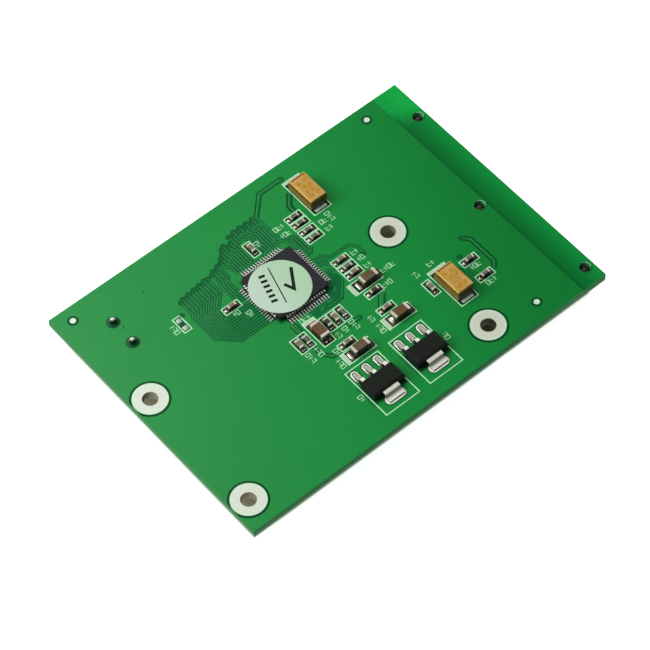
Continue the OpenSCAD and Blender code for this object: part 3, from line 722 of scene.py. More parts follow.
# thin lacquer over the laminate: colour and gloss
lacquers = {
    "bare": ((0.004, 0.080, 0.024), 0.15),
    "gap": ((0.003, 0.105, 0.030), 0.12),
    # the foot gaps are the clearance between the chip's pads, darkened near black as painted shadow of
    # the chip
    "foot": ((0.002, 0.022, 0.010), 0.12),
    # the part gaps are the clearance inside each frame, darkened further as painted shade round the
    # part
    "part": ((0.003, 0.036, 0.013), 0.12),
    "ring": ((0.002, 0.062, 0.014), 0.1),
    "track": ((0.008, 0.215, 0.048), 0.2),
    "wideGap": ((0.0018, 0.094, 0.019), 0.12),
    "ground": ((0.003, 0.130, 0.035), 0.15),
    "via": ((0.004, 0.118, 0.028), 0.12),
    "glint": ((0.30, 0.55, 0.34), 0.4),
    "bead": ((0.003, 0.165, 0.028), 0.3),
}


def makeLacquer(name, colour, gloss):
    # a faint cloud in the tone and a fine unevenness under the gloss
    paint = Paint(name + "Lacquer", Roughness=lacquer["roughness"], Specular_IOR_Level=gloss)
    paint.set(Base_Color=paint.noise(260, 3).speckle(colour, 0.14))
    paint.bump(paint.noise(1400, 2), 0.25, 0.015)
    return paint.material


# plated or soldered metal: colour, roughness, fineness and relief of the grain, share of
# metal, and for the drawn can the grain's stretch
metals = {
    "tinPlate": ((0.63, 0.71, 0.60), 0.5, 900, 0.25, 0.25),
    "dotTin": ((0.62, 0.86, 0.64), 0.5, 900, 0.25, 0.15),
    "chipPadTin": ((0.38, 0.49, 0.39), 0.45, 1400, 0.2, 0.2),
    "footPadTin": ((0.80, 0.86, 0.74), 0.42, 1400, 0.2, 0.2),
    # painted reflection: the small parts' pads are dark metal, as the dark they reflect
    "padSolder": ((0.055, 0.048, 0.026), 0.45, 1400, 0.4, 0.3),
    # painted highlight: the drops at the toes are near-white solder
    "highlightSolder": ((0.86, 0.97, 0.84), 0.36, 1400, 0.2, 0.45),
    # painted shade: the skirts and valleys round the regulators' feet are dark, as shadow and the dark
    # they reflect
    "skirtSolder": ((0.030, 0.030, 0.018), 0.5, 1600, 0.4, 0.2),
    "valleyShadow": ((0.13, 0.13, 0.09), 0.5, 1600, 0.3, 0.2),
    "baySolder": ((0.42, 0.46, 0.37), 0.5, 1600, 0.3, 0.2),
    # painted shadow: the dark line along the end of each tab's foot
    "toeShadow": ((0.022, 0.016, 0.010), 0.5, 1600, 0.3, 0.1),
    "goldPlate": ((0.92, 0.70, 0.32), 0.24, 2600, 0.2, 1.0),
    "canSteel": ((0.36, 0.355, 0.345), 0.28, 1500, 0.3, 1.0, (1, 1, 0.15)),
}


def makeMetal(name, colour, roughness, grain, relief, metallic, stretch=None):
    # the grain unsettles the gloss, the tone and the surface
    paint = Paint(name, Metallic=metallic)
    pattern = paint.noise(grain, 4, 0.6, stretch)
    paint.set(Base_Color=pattern.speckle(colour, 0.10),
              Roughness=pattern.ramp(0, 1, roughness * 0.75, roughness * 1.3))
    paint.bump(pattern, relief)
    return paint.material


# filled resin and thick ink: colour, roughness, gloss, fineness and strength of the grain
mouldings = {
    "chipCase": ((0.014, 0.014, 0.018), 0.5, 0.2, 5000, 0.22),
    "regulatorCase": ((0.0080, 0.0105, 0.0080), 0.55, 0.1, 5000, 0.22),
    "plugMoulding": ((0.010, 0.010, 0.011), 0.46, 0.25, 3500, 0.22),
    "socketMoulding": ((0.74, 0.67, 0.50), 0.5, 0.3, 3500, 0.06),
    # painted highlight: the peg tips are a little lighter than the moulding
    "pegTip": ((0.036, 0.028, 0.018), 0.45, 0.3, 5000, 0.22),
    "stickerInk": ((0.008, 0.012, 0.008), 0.45, 0.1, 5000, 0.3),
    "burntResin": ((0.33, 0.185, 0.014), 0.6, 0.1, 5000, 0.22),
    "resistorInk": ((0.26, 0.31, 0.24), 0.6, 0.1, 5000, 0.22),
}


def makeMoulding(name, colour, roughness, gloss, grain, fleck):
    # a fine grain with broad faint flow marks
    paint = Paint(name, Roughness=roughness, Specular_IOR_Level=gloss)
    fine = paint.noise(grain, 2, 0.7)
    lighter = tuple(min(channel * 1.25 + 0.004, 1) for channel in colour)
    flow = paint.noise(400, 2) * 0.35
    paint.set(Base_Color=flow.mix(fine.speckle(colour, fleck), lighter))
    paint.bump(fine, 0.3, 0.012)
    return paint.material


inks = {"legendInk": (0.47, 0.84, 0.54), "barInk": (0.47, 0.62, 0.45), "glyphInk": (0.36, 0.72, 0.42)}


def makeInk(name, colour):
    # matt print on the board, thinner and thicker in grains
    paint = Paint(name, Roughness=0.55, Specular_IOR_Level=0.15)
    grain = paint.noise(2400, 3, 0.7)
    paint.set(Base_Color=grain.speckle(colour, 0.16))
    paint.bump(grain, 0.3, 0.01)
    return paint.material


stock = {name + "Lacquer": makeLacquer(name, *tones) for name, tones in lacquers.items()}
stock.update((name, makeMetal(name, *tones)) for name, tones in metals.items())
stock.update((name, makeMoulding(name, *tones)) for name, tones in mouldings.items())
stock.update((name, makeInk(name, colour)) for name, colour in inks.items())
stock.update((name, makeLeadTin(name)) for name in leadTins)
print("materials in stock:", len(stock))

dress = {
    "circuit_board": makeBoard(),
    "mounting_hole_linings": makeLining(),
    "bridge_chip_body": stock["chipCase"],
    "bridge_chip_leads": stock["chipTin"],
    "inspection_sticker": makeSticker(),
    "sata_plug_housing": stock["plugMoulding"],
    "sata_signal_contacts": stock["goldPlate"],
    "sata_power_contacts": stock["goldPlate"],
    "sata_plug_anchors": stock["leadTin"],
    "ribbon_socket_housing": stock["socketMoulding"],
    "ribbon_socket_contacts": stock["goldPlate"],
    "ribbon_socket_anchors": stock["leadTin"],
    "crystal_can": stock["canSteel"],
    "crystal_header": stock["canSteel"],
    "crystal_leads": stock["leadTin"],
    "crystal_solder_joints": makeJointSolder(),
}
for body in regulators:
    terminals = body.replace("body", "terminals")
    dress[body] = stock["regulatorCase"]
    dress[terminals] = makeRegulatorTin(body, terminals)
for body in tantalums:
    dress[body] = makeTantalum(body)
    dress[body.replace("body", "terminals")] = stock["strapTin"]
chipNodes = [node for node in cadNodes if node.startswith(tuple(chipParts))]
for node in chipNodes:
    dress[node] = makeChipPart(node)
for node, material in dress.items():
    for slot in cadNodes[node].material_slots:
        slot.material = material
print("CAD nodes dressed:", len(dress))

# Everything printed, plated or soldered on the top face

heights = {
    "clearance": 0.006,
    "ground": 0.0072,
    "fanEdge": 0.0085,
    "trackGaps": (0.009, 0.012, 0.015),
    "wideGaps": 0.0105,
    "upperTrackGap": 0.0133,
    "viaGaps": (0.018, 0.021, 0.024),
    "track": 0.030,
    "legend": 0.034,
    "via": 0.036,
    "chipPad": 0.035,
    "pad": 0.045,
    "puddle": 0.05,
}


def film(length, width, corner=0.1, height=heights["clearance"], bevel=0.001, steps=4):
    # a clearance in the copper, seen as a film of darker lacquer
    return plate(length, width, corner, 0, height, bevel, steps=steps)


def filmRing(inner, outer, steps=48):
    # the same film as a flat ring between two radii
    top = heights["clearance"]
    return turnedRing([[inner, 0], [outer, 0], [outer, top], [inner, top]], steps)


chipPadSizes = {
    "small": {"length": 0.85, "width": 0.95, "reach": 1.28, "rise": 0.42},
    "bulk": {"length": 1.5, "width": 1.8, "reach": 2.42, "rise": 0.85},
}


def endFillet(pad, long, short):
    # solder climbs from the toe to the end cap with the power 3.6 of the way there, and falls
    # away at both sides with the square of the distance from the middle
    along, across = np.meshgrid(np.linspace(0, 1, 11), np.linspace(-1, 1, 9), indexing="ij")
    heel, toe = long / 2 - 0.03, pad["reach"] - 0.04
    width = short / 2 * (0.98 + 0.06 * (1 - along)) * across
    height = heights["pad"] + pad["rise"] * along ** 3.6 * (1 - 0.65 * across ** 2)
    return closedPatch(toe + (heel - toe) * along, width, height, heights["pad"] / 2)


def bothEnds(shape, x, y, turn):
    # the shape at one end, and turned half round at the other
    return [moved(shape, x, y, turn + half) for half in (180, 0)]


def drop(x, y, length, width, height=0.12):
    # solder painted bright as a highlight: a rounded plate whose crown is one minus the square of its
    # radius
    shape = plate(length, width, width / 2, 0, heights["pad"] + 0.02, crown=height, rings=4, steps=5)
    return moved(shape, x, y)


def endDrops(node, pad):
    # painted highlights as bright drops of solder: the toe that looks to the left carries one round
    # drop, the toe that looks to the front two small ones, and one large part has a high drop against
    # its end
    x, y, turn, long, short = nodePlace(node)
    toe = (long / 2 + pad["reach"]) / 2
    if turn:
        return [drop(x - short * 0.22, y - toe, 0.22, 0.30),
                drop(x + short * 0.24, y - toe - 0.05, 0.18, 0.22)]
    if node == "bulk_capacitor_2":
        return [drop(x - toe + 0.42, y, 1.00, short * 0.85, 0.62)]
    if long > 2:
        return [drop(x - toe - 0.12, y, 0.36, short * 0.78)]
    return [drop(x - toe - 0.14, y, 0.36, 0.42, 0.10)]


legendSizes = {
    "line": 0.19,
    "bevel": 0.01,
    "smallBox": (3.13, 1.42),
    "bulkBox": (5.58, 2.28),
    "bulkBar": 0.72,
    "bulkShift": {"bulk_capacitor_1": -0.66, "bulk_capacitor_2": -0.37,
                  "bulk_capacitor_3": -0.42, "bulk_capacitor_4": 0.25},
}


def frameLine(length, width):
    # the printed outline of a part's place
    x, y = length / 2, width / 2
    corners = [(-x, -y), (x, -y), (x, y), (-x, y)]
    return strip(corners, legendSizes["line"], 0, heights["legend"], legendSizes["bevel"], closed=True)


def bar(length, width):
    # a solid bar just inside a frame's end
    return plate(length, width - legendSizes["line"], 0.02, 0, heights["legend"] + 0.004)


partPads, drops, fillets, partGaps, clearances, printed = [], [], [], [], [], []
legend, legendBars = [], []

for node in chipNodes:
    x, y, turn, long, short = nodePlace(node)
    size = "bulk" if node.startswith("bulk") else "small"
    pad = chipPadSizes[size]
    shape = plate(pad["length"], pad["width"], 0.08, 0, heights["pad"])
    partPads += bothEnds(moved(shape, pad["reach"] - pad["length"] / 2, 0), x, y, turn)
    fillets += bothEnds(endFillet(pad, long, short), x, y, turn)
    drops += endDrops(node, pad)
    if node.startswith(("resistor", "ferrite_bead_1", "ferrite_bead_2")):
        # three plain ticks across the top
        top = nodeBox(node)[1].z
        tick = plate(0.11, 0.50, 0.02, top - 0.01, top + 0.008, 0.002)
        printed += [moved(moved(tick, shift, 0), x, y, turn) for shift in (-0.25, 0.02, 0.25)]
    boxLength, boxWidth = legendSizes[size + "Box"]
    if size == "bulk":
        shift = legendSizes["bulkShift"][node]
        x, y = (x, y + shift) if turn else (x + shift, y)
        barX = (boxLength - legendSizes["bulkBar"]) / 2 * (1 if turn else -1)
        legendBars.append(moved(moved(bar(legendSizes["bulkBar"], boxWidth), barX, 0), x, y, turn))
    legend.append(moved(frameLine(boxLength, boxWidth), x, y, turn))
    # inside each frame a film of dark lacquer: the clearance, with painted shade round the part
    # neighbours lie on four levels in turn, so that no two share a face
    level = heights["clearance"] + 0.001 * (len(partGaps) % 4)
    partGaps.append(moved(film(boxLength - 0.3, boxWidth - 0.26, 0.1, level, 0.0005), x, y, turn))

tantalumMarks = {
    "box": (3.45, 8.3),
    "boxShift": 0.3,
    "bar": 0.55,
    "padLength": 1.75,
    "padWidth": 2.35,
    "padReach": 3.5,
    "heel": 3.08,
    "fillet": 0.10,
    "rows": (-0.58, 0.52),
    "marks": 4,
    "markStart": -1.95,
    "markPitch": 1.05,
}


def strapFillet():
    # a low slope from the pad's toe to the strap, bowed down at its sides
    along, across = np.meshgrid(np.linspace(0, 1, 8), np.linspace(-1, 1, 11), indexing="ij")
    heel, toe = tantalumMarks["heel"], tantalumMarks["padReach"] - 0.05
    width = 1.1 * across * (1.02 - 0.02 * along)
    height = heights["pad"] + tantalumMarks["fillet"] * along * (1 - 0.2 * across ** 4)
    return closedPatch(toe + (heel - toe) * along, width, height, heights["pad"] / 2)


footPads, burnt = [], []
for node in tantalums:
    x, y = nodePlace(node)[:2]
    boxWidth, boxLength = tantalumMarks["box"]
    boxY = y + tantalumMarks["boxShift"]
    legend.append(moved(frameLine(boxWidth, boxLength), x, boxY))
    barY = boxY + (boxLength - tantalumMarks["bar"]) / 2
    legendBars.append(moved(bar(tantalumMarks["bar"], boxWidth), x, barY, 90))
    # the same dark film inside the tantalum's frame, with painted shade round the case
    partGaps.append(moved(film(boxWidth - 0.3, boxLength - 0.4), x, boxY))
    pad = plate(tantalumMarks["padLength"], tantalumMarks["padWidth"], 0.1, 0, heights["pad"])
    pad = moved(pad, tantalumMarks["padReach"] - tantalumMarks["padLength"] / 2, 0)
    for shape in (pad, strapFillet()):
        footPads += bothEnds(shape, x, y, 90)
    # generic marks burnt into the resin, none of them a letter
    top = nodeBox(node)[1].z
    upright = plate(0.58, 0.16, 0.05, top - 0.01, top + 0.006, 0.002)
    crossbar = plate(0.16, 0.52, 0.05, top - 0.01, top + 0.007, 0.002)
    for row in tantalumMarks["rows"]:
        for i in range(tantalumMarks["marks"]):
            markX, markY = x + row, y + tantalumMarks["markStart"] + tantalumMarks["markPitch"] * i
            burnt.append(moved(upright, markX, markY, 10 * (i % 2)))
            burnt.append(moved(crossbar, markX + 0.3 - 0.5 * (i % 2), markY + 0.3))

regulatorMarks = {
    "box": (6.68, 9.95),
    "boxShift": 0.12,
    "padWidth": 1.3,
    "padLength": 2.3,
    "padReach": 4.7,
    "tabWidth": 3.8,
    "tabLength": 1.75,
    "tabReach": 3.92,
    "toeReach": 3.45,
    "pitch": 2.3,
    "footMiddle": 3.1,
    "margin": 0.2,
}


def puddle(length, width, corner, steps):
    # solder spread over a pad, a little higher in the middle
    return plate(length, width, corner, 0, heights["puddle"], 0.03, crown=0.03, rings=3, steps=steps)


def footSkirt(width, length, spread, rise):
    # solder drawn up round a flat foot: rings of a rounded outline, which fall with the power
    # 1.6 of the way out, closed by the outermost and innermost ring at the pad's height
    layers = []
    for share in np.linspace(0, 1, 5):
        out = spread * share
        outline = roundedOutline(width + 2 * out, length + 2 * out, 0.12 + out, 5)
        height = heights["puddle"] + rise * (1 - share) ** 1.6
        layers.append(np.c_[outline, np.full(len(outline), height)])
    for layer in (layers[-1], layers[0]):
        layers.append(np.c_[layer[:, :2], np.full(len(layer), 0.02)])
    count = len(outline)
    faces = gridFaces(len(layers), count, wrap=True)
    last = (len(layers) - 1) * count
    faces += [[last + j, last + (j + 1) % count, (j + 1) % count, j] for j in range(count)]
    return np.concatenate(layers), [face[::-1] for face in faces]


def valleyArch():
    # a painted shadow line round a lead's foot, where the solder meets it: two straights joined by
    # half an ellipse
    bend = np.linspace(0, math.pi, 9)
    arch = [[0.33, -0.75], *np.c_[0.33 * np.cos(bend), 0.18 + 0.36 * np.sin(bend)], [-0.33, -0.75]]
    return strip(arch, 0.19, 0.04, 0.092, 0.03)


valleys, bays, skirts, tabLines = [], [], [], []
padWidth, padLength = regulatorMarks["padWidth"], regulatorMarks["padLength"]
tabWidth, tabLength = regulatorMarks["tabWidth"], regulatorMarks["tabLength"]
margin = regulatorMarks["margin"]
for node in regulators:
    x, y = nodePlace(node)[:2]
    legend.append(moved(frameLine(*regulatorMarks["box"]), x, y + regulatorMarks["boxShift"]))
    leadY = y + regulatorMarks["padReach"] - padLength / 2
    for leadX in (x - regulatorMarks["pitch"], x, x + regulatorMarks["pitch"]):
        footPads.append(moved(puddle(padWidth, padLength, padWidth / 2, 7), leadX, leadY))
        gap = film(padWidth + 2 * margin, padLength + 2 * margin, padWidth / 2 + margin)
        clearances.append(moved(gap, leadX, leadY))
        # the valleys and skirts are painted dark round each foot, as shadow and dark reflection
        valleys.append(moved(valleyArch(), leadX, leadY + 0.3))
        bays.append(moved(plate(0.56, 1.25, 0.28, 0.04, 0.088, steps=5), leadX, leadY + 0.14))
        skirts.append(moved(footSkirt(0.78, 0.9, 0.12, 0.14), leadX, y + regulatorMarks["footMiddle"]))
    tabY = y - regulatorMarks["tabReach"] + tabLength / 2
    footPads.append(moved(puddle(tabWidth, tabLength, 0.8, 6), x, tabY))
    clearances.append(moved(film(tabWidth + 2 * margin, tabLength + 2 * margin, 1.0), x, tabY))
    # a dark strip painted along the end of the tab's foot as its shadow
    toe = plate(3.0, 0.28, 0.13, 0.03, 0.13)
    tabLines.append(moved(toe, x, y - regulatorMarks["toeReach"]))

chipPad = {
    "count": 16,
    "pitch": 0.5,
    "width": 0.22,
    "length": 1.45,
    "reach": (6.26, 6.48),
    "gapLength": 1.75,
    "gapReach": 0.95,
}

chipX, chipY = nodePlace("bridge_chip_body")[:2]
chipPads, chipGaps = [], []
for side in range(4):
    reach = chipPad["reach"][side % 2]
    for i in range(chipPad["count"]):
        offset = (i - (chipPad["count"] - 1) / 2) * chipPad["pitch"]
        pad = plate(chipPad["length"], chipPad["width"], 0.05, 0, heights["chipPad"],
                    crown=0.02, steps=2)
        pad = moved(pad, reach - chipPad["length"] / 2, offset)
        chipPads.append(moved(pad, chipX, chipY, 90 * side))
    # the clearance between each side's pads, darkened near black as painted shadow of the chip
    gap = film(chipPad["gapLength"], chipPad["count"] * chipPad["pitch"] + 0.1)
    chipGaps.append(moved(moved(gap, reach - chipPad["gapReach"], 0), chipX, chipY, 90 * side))

# Locating dots, the empty pair of pads, the plug's pegs and the rings round the holes

spots = {
    "dots": [(-33.1, 22.9), (27.7, 22.9), (24.2, -22.3)],
    "dotSize": 1.0,
    "dotRing": (0.3, 0.95),
    "emptyPads": [(-20.55, 11.9), (-20.55, 10.2)],
    "emptyBox": (1.4, 3.2),
    "jointRing": (0.6, 1.15),
    "landRing": (2.85, 3.30),
    "pegs": [(34.4, 17.8), (34.4, -22.4), (30.0, -2.3)],
    "pegRim": [[0.88, 0], [1.17, 0], [1.15, 0.03], [1.08, 0.045], [0.90, 0.035]],
    "pegTip": 0.62,
    "flecks": [(-27.85, 16.7), (-21.3, 20.0)],
}


def crescent():
    # the far side of a peg's rim catches the light: its width is the cosine of its own angle
    across, along = np.meshgrid(np.linspace(0, 1, 4), np.linspace(-0.75, 1.25, 17), indexing="ij")
    radius = 0.93 + 0.15 * np.cos((along - 0.25) * math.pi / 2.1) * across
    height = 0.05 + 0.02 * across * (1 - across)
    points, faces = closedPatch(radius * np.cos(along), radius * np.sin(along), height, 0.03)
    return points, [face[::-1] for face in faces]


def landRing(x, y):
    # the bare ring round a land, cut short where it meets the board's edge
    points, faces = moved(filmRing(*spots["landRing"], 64), x, y)
    edge = np.array(boardHigh.xy) - 0.02
    points[:, :2] = np.clip(points[:, :2], -edge, edge)
    return points, faces


pegTop = nodeBox("sata_plug_housing")[1].z
# each peg's tip carries a lighter disc, painted as the highlight on its rounded top
tip = plate(spots["pegTip"], spots["pegTip"], spots["pegTip"] / 2, pegTop - 0.03, pegTop + 0.01,
            crown=0.03, rings=3, steps=6)
pegBeads = atAll(turnedRing(spots["pegRim"], 40), spots["pegs"])
pegGlints = atAll(crescent(), spots["pegs"])
pegTips = atAll(tip, spots["pegs"])
dot = plate(spots["dotSize"], spots["dotSize"], 0.5, 0, heights["pad"], steps=8)
dots = atAll(dot, spots["dots"])
emptyPad = plate(0.88, 0.86, 0.22, 0, heights["pad"], 0.015, crown=0.09, rings=4)
chipPads += atAll(emptyPad, spots["emptyPads"])
emptyMiddle = [np.mean(spots["emptyPads"], axis=0)]
legend += atAll(frameLine(*spots["emptyBox"]), emptyMiddle)
clearances += atAll(film(1.05, 2.8), emptyMiddle)
clearances += atAll(filmRing(*spots["dotRing"]), spots["dots"])
clearances += atAll(filmRing(*spots["jointRing"]), jointCentres)
landRings = [landRing(x, y) for x, y in holeCentres]
print("pads, solder and clearances shaped")

# Tracks. Each is a strip of raised lacquer between two darker gaps.

tracks = {
    "width": 0.24,
    "gap": 0.15,
    "via": 0.33,
    "viaHole": 0.132,
    "viaGap": 0.20,
    "leftCount": 11,
    "leadPitch": 0.5,
    "firstLead": -3.75,
    "leadEnd": 6.1,
}


def bundle(*corners):
    # one path for each lead, from corners whose X and Y run over all the leads
    return list(np.stack([np.stack(np.broadcast_arrays(x, y), -1) for x, y in corners], 1))


def leftFan():
    # from the chip's left leads: out, up at forty-five degrees, side by side, out again, up to a via
    k = np.arange(tracks["leftCount"])
    lead = chipY + tracks["firstLead"] + tracks["leadPitch"] * k
    narrow, column = -18.45 + 0.40 * k, -18.1 + 0.6 * k
    lowDiagonal, highDiagonal = -12.85 + 0.55 * k, 29.45 - 0.55 * k
    top = 14.35 + 0.08 * k + 0.25 * (k % 2)
    return bundle((chipX - tracks["leadEnd"], lead), (lowDiagonal - lead, lead),
                  (narrow, lowDiagonal - narrow), (narrow, highDiagonal + narrow),
                  (column, highDiagonal + column), (column, top))


def topFan():
    # from the chip's top leads: a short step sideways, up, a second step, and up to a via
    k = np.array([0, 1, 2, 3, 4, 5, 6, 7, 9, 10, 11, 12, 13, 14, 15])
    lead = chipX + tracks["firstLead"] + tracks["leadPitch"] * k
    left = k < 8
    column = lead + np.where(left, -0.45, 0.62)
    columnTop = np.where(left, 14.2 + 0.55 * k, 16.9 + 0.12 * (k - 9))
    step = np.where(left, -0.75 + 0.09 * k, -0.95 + 0.14 * (k - 9))
    rise = np.array([16.3, 16.9, 17.3, 18.2, 18.5, 17.9, 18.2, 19.3])
    top = np.where(left, rise[np.minimum(k, 7)], 19.15 + 0.5 * (k % 2))
    start = chipY + tracks["leadEnd"]
    bend, stepTop = start + 0.5, columnTop + np.abs(step)
    return bundle((lead, start), (lead, bend), (column, bend + np.abs(column - lead)),
                  (column, columnTop), (column + step, stepTop + 1e-3),
                  (column + step, np.maximum(top, stepTop + 0.2)))


def cornerFan():
    # the last left leads turn straight up beside the chip
    k = np.arange(4)
    lead = chipY + 2.25 + tracks["leadPitch"] * k
    column, bend, shift = -11.35 + 0.47 * k, chipX - 6.9 + 0.2 * k, 0.25 + 0.12 * k
    return bundle((chipX - tracks["leadEnd"], lead), (bend, lead), (column, lead + bend - column),
                  (column, 12.75), (column + shift, 12.75 + shift),
                  (column + shift, 15.3 + 0.25 * (k % 2) + 0.2 * k))


fan = leftFan() + cornerFan() + topFan()
fanVias = [path[-1] for path in fan]

loosePaths = [
    [(1.45, 19.4), (1.45, 13.2), (2.1, 12.4), (2.1, 10.2)],
    [(0.55, 14.3), (0.55, 13.9), (2.35, 12.6), (2.9, 12.05), (2.9, 9.6)],
    [(1.0, 14.6), (1.0, 14.2), (2.6, 12.95), (3.45, 12.1), (3.45, 9.3), (3.0, 8.9)],
    [(1.45, 14.3), (2.9, 13.3), (4.0, 12.2), (4.0, 9.2)],
    [(2.9, 8.35), (3.6, 8.35), (4.5, 9.3)],
    [(2.8, 6.95), (4.3, 6.95), (5.3, 5.7), (9.1, 5.6), (10.0, 4.6), (9.9, 2.9)],
    [(2.8, 6.2), (3.8, 6.2), (4.6, 5.3)],
    [(2.8, 5.45), (3.6, 5.45), (4.4, 4.6)],
    [(2.8, 3.9), (3.6, 3.9), (4.3, 3.2)],
    [(-7.35, -0.3), (-7.35, -2.0), (-7.9, -2.6)],
    [(-6.85, -0.3), (-6.85, -1.0)],
    [(-3.72, 17.1), (-3.72, 18.9)],
    [(18.4, -10.2), (19.4, -9.4)],
    [(23.3, -9.1), (24.1, -9.1)],
    [(-2.35, -0.3), (-1.8, -0.9), (-1.0, -0.9)],
    [(-1.85, -0.3), (-1.5, -0.6), (0.6, -0.6)],
]

# wider tracks: path, width and gap
widePaths = [
    ([(23.45, -5.2), (24.5, -6.4), (24.5, -11.9), (23.6, -13.0)], 0.3, 0.36),
    ([(6.85, 16.5), (6.85, 17.7), (8.6, 19.8)], 0.3, 0.40),
    ([(5.15, -7.05), (7.0, -5.0)], 0.8, 0.24),
    ([(-1.2, -1.45), (1.75, -1.45), (3.9, 1.0)], 0.34, 0.12),
    ([(-7.75, -0.4), (-7.75, -7.6), (-6.6, -9.05), (-5.1, -9.05)], 0.4, 0.25),
    ([(-1.2, -6.2), (1.35, -6.2)], 0.42, 0.26),
]
upperPath = ([(1.35, 19.4), (4.75, 22.8), (9.3, 22.8)], 0.45, 0.25)

# broad clearances: path and width
darkGrounds = [
    ([(-4.0, -1.1), (1.45, -1.1), (3.25, 1.1), (3.25, 2.3), (2.6, 3.2)], 1.6),
    ([(0.4, -0.1), (2.6, 2.3)], 1.7),
    ([(-7.3, -0.3), (-7.3, -2.4)], 1.1),
    ([(-4.3, 19.0), (-2.7, 19.35), (-0.4, 19.25), (1.2, 18.9)], 1.2),
    ([(-7.7, 17.4), (-6.7, 17.9), (-5.3, 17.55), (-4.4, 18.3)], 0.8),
]

# light patches on them: middle, length, width and turn
lightPatches = [
    (-2.1, -1.15, 1.0, 0.5, 20), (-0.2, -0.85, 1.1, 0.35, 0), (1.9, 0.55, 1.2, 0.4, 48),
]

looseVias = [(9.8, 2.8), (1.3, -6.2), (20.8, -7.8), (-19.6, 12.4), (9.3, 22.8), (23.45, -5.2)]


def layTracks(paths):
    # the dark gaps lie on three levels in turn, so that no two neighbours share a face
    width, gaps, raised = tracks["width"], [], []
    for i, path in enumerate(paths):
        gaps.append(strip(path, width + 2 * tracks["gap"], 0, heights["trackGaps"][i % 3], 0.001))
        raised.append(strip(path, width, 0, heights["track"] + 0.001 * (i % 3), 0.05))
    return gaps, raised


def layVias(places, gaps, raised):
    # a lacquered rim that dips to a small filled hole, inside a dark ring
    rim, hole, top = tracks["via"], tracks["viaHole"], heights["via"]
    profile = [[hole * 0.4, 0], [rim, 0], [rim - 0.03, top], [hole, top], [hole * 0.4, 0.022]]
    via = turnedRing(profile, 20)
    reach = rim + tracks["viaGap"]
    for i, (x, y) in enumerate(places):
        gap = film(2 * reach, 2 * reach, reach, heights["viaGaps"][i % 3], steps=6)
        gaps.append(moved(gap, x, y))
        raised.append(moved(via, x, y))


gaps, raised = layTracks(fan + loosePaths)
gaps += atAll(film(0.55, 0.2), spots["flecks"], 45)
grounds = [strip(path, width, 0, heights["ground"] + 0.0003 * i, 0.001)
           for i, (path, width) in enumerate(darkGrounds)]
for x, y, length, width, turn in lightPatches:
    raised.append(moved(plate(length, width, width / 2, 0, heights["track"], 0.02), x, y, turn))
wideGaps = []
for i, (path, width, gap) in enumerate(widePaths + [upperPath]):
    level = heights["wideGaps"] + 0.001 * (i % 4)
    if i == len(widePaths):
        level = heights["upperTrackGap"]
    wideGaps.append(strip(path, width + 2 * gap, 0, level, 0.001))
    raised.append(strip(path, width, 0, heights["track"] + 0.003, 0.06))
# the outermost track of the fan has a broad gap on its outer side
wideGaps.append(strip(fan[0] - [0.14, 0.1], 0.30, 0, heights["fanEdge"], 0.001))
vias = []
layVias(fanVias + looseVias, gaps, vias)

addPiece("lacquerClearances", clearances, stock["bareLacquer"])
addPiece("lacquerPartGaps", partGaps, stock["partLacquer"])
addPiece("lacquerFootGaps", chipGaps, stock["footLacquer"])
addPiece("lacquerLandRings", landRings, stock["ringLacquer"])
addPiece("lacquerTrackGaps", gaps, stock["gapLacquer"])
addPiece("lacquerWideGaps", wideGaps, stock["wideGapLacquer"])
addPiece("lacquerGrounds", grounds, stock["groundLacquer"])
addPiece("lacquerTracks", raised, stock["trackLacquer"])
addPiece("lacquerVias", vias, stock["viaLacquer"])
addPiece("pegGlints", pegGlints, stock["glintLacquer"])
addPiece("pegTips", pegTips, stock["pegTip"])
addPiece("lacquerBeads", pegBeads, stock["beadLacquer"])
addPiece("topPads", dots, stock["dotTin"])
addPiece("chipPads", chipPads, stock["chipPadTin"])
addPiece("footPads", footPads, stock["footPadTin"])
addPiece("partPads", partPads, stock["padSolder"])
addPiece("topSolder", fillets, makeFilletSolder())
addPiece("toeHighlights", drops, stock["highlightSolder"])
addPiece("resinMarks", burnt, stock["burntResin"])
addPiece("resistorMarks", printed, stock["resistorInk"])
addPiece("footShadowLines", valleys, stock["valleyShadow"])
addPiece("solderBays", bays, stock["baySolder"])
addPiece("tabLines", tabLines, stock["toeShadow"])
addPiece("regulatorSkirts", skirts, stock["skirtSolder"])
print("tracks laid:", len(raised))

# The legend. Where the board carries letters these are plain little boxes and bars.
# Each label: middle, number of glyphs and turn.

labels = [
    (2.8, 15.5, 3, 0), (2.8, 13.8, 3, 0), (9.0, 11.9, 2, 0), (9.0, 10.3, 2, 0), (8.9, 4.0, 2, 0),
    (8.9, 2.4, 2, 0), (8.9, 0.7, 2, 0), (10.9, -1.75, 4, 0), (8.8, -4.1, 3, 0), (2.45, -7.6, 2, 90),
    (2.45, -10.0, 3, 90), (-9.4, -7.1, 3, 90), (-7.7, -7.0, 3, 90), (-3.4, -6.6, 2, 90),
    (-1.8, -6.6, 2, 90), (-0.2, -6.7, 3, 90), (-5.6, -8.9, 2, 90), (-6.6, -11.0, 3, 90),
    (-12.8, 7.1, 2, 0), (-11.2, 5.6, 2, 90), (-1.9, 15.2, 2, 90), (21.6, -10.7, 3, 0),
    (21.6, -14.5, 3, 0), (13.25, -5.85, 2, 90), (16.5, -5.7, 2, 0), (10.5, 12.0, 3, 90),
    (-8.3, -18.0, 2, 90), (9.2, -17.8, 2, 90), (-22.1, 11.0, 3, 90), (-5.4, -0.85, 3, 0),
]

glyph = {"width": 0.50, "height": 0.84, "line": 0.15, "pitch": 0.68}


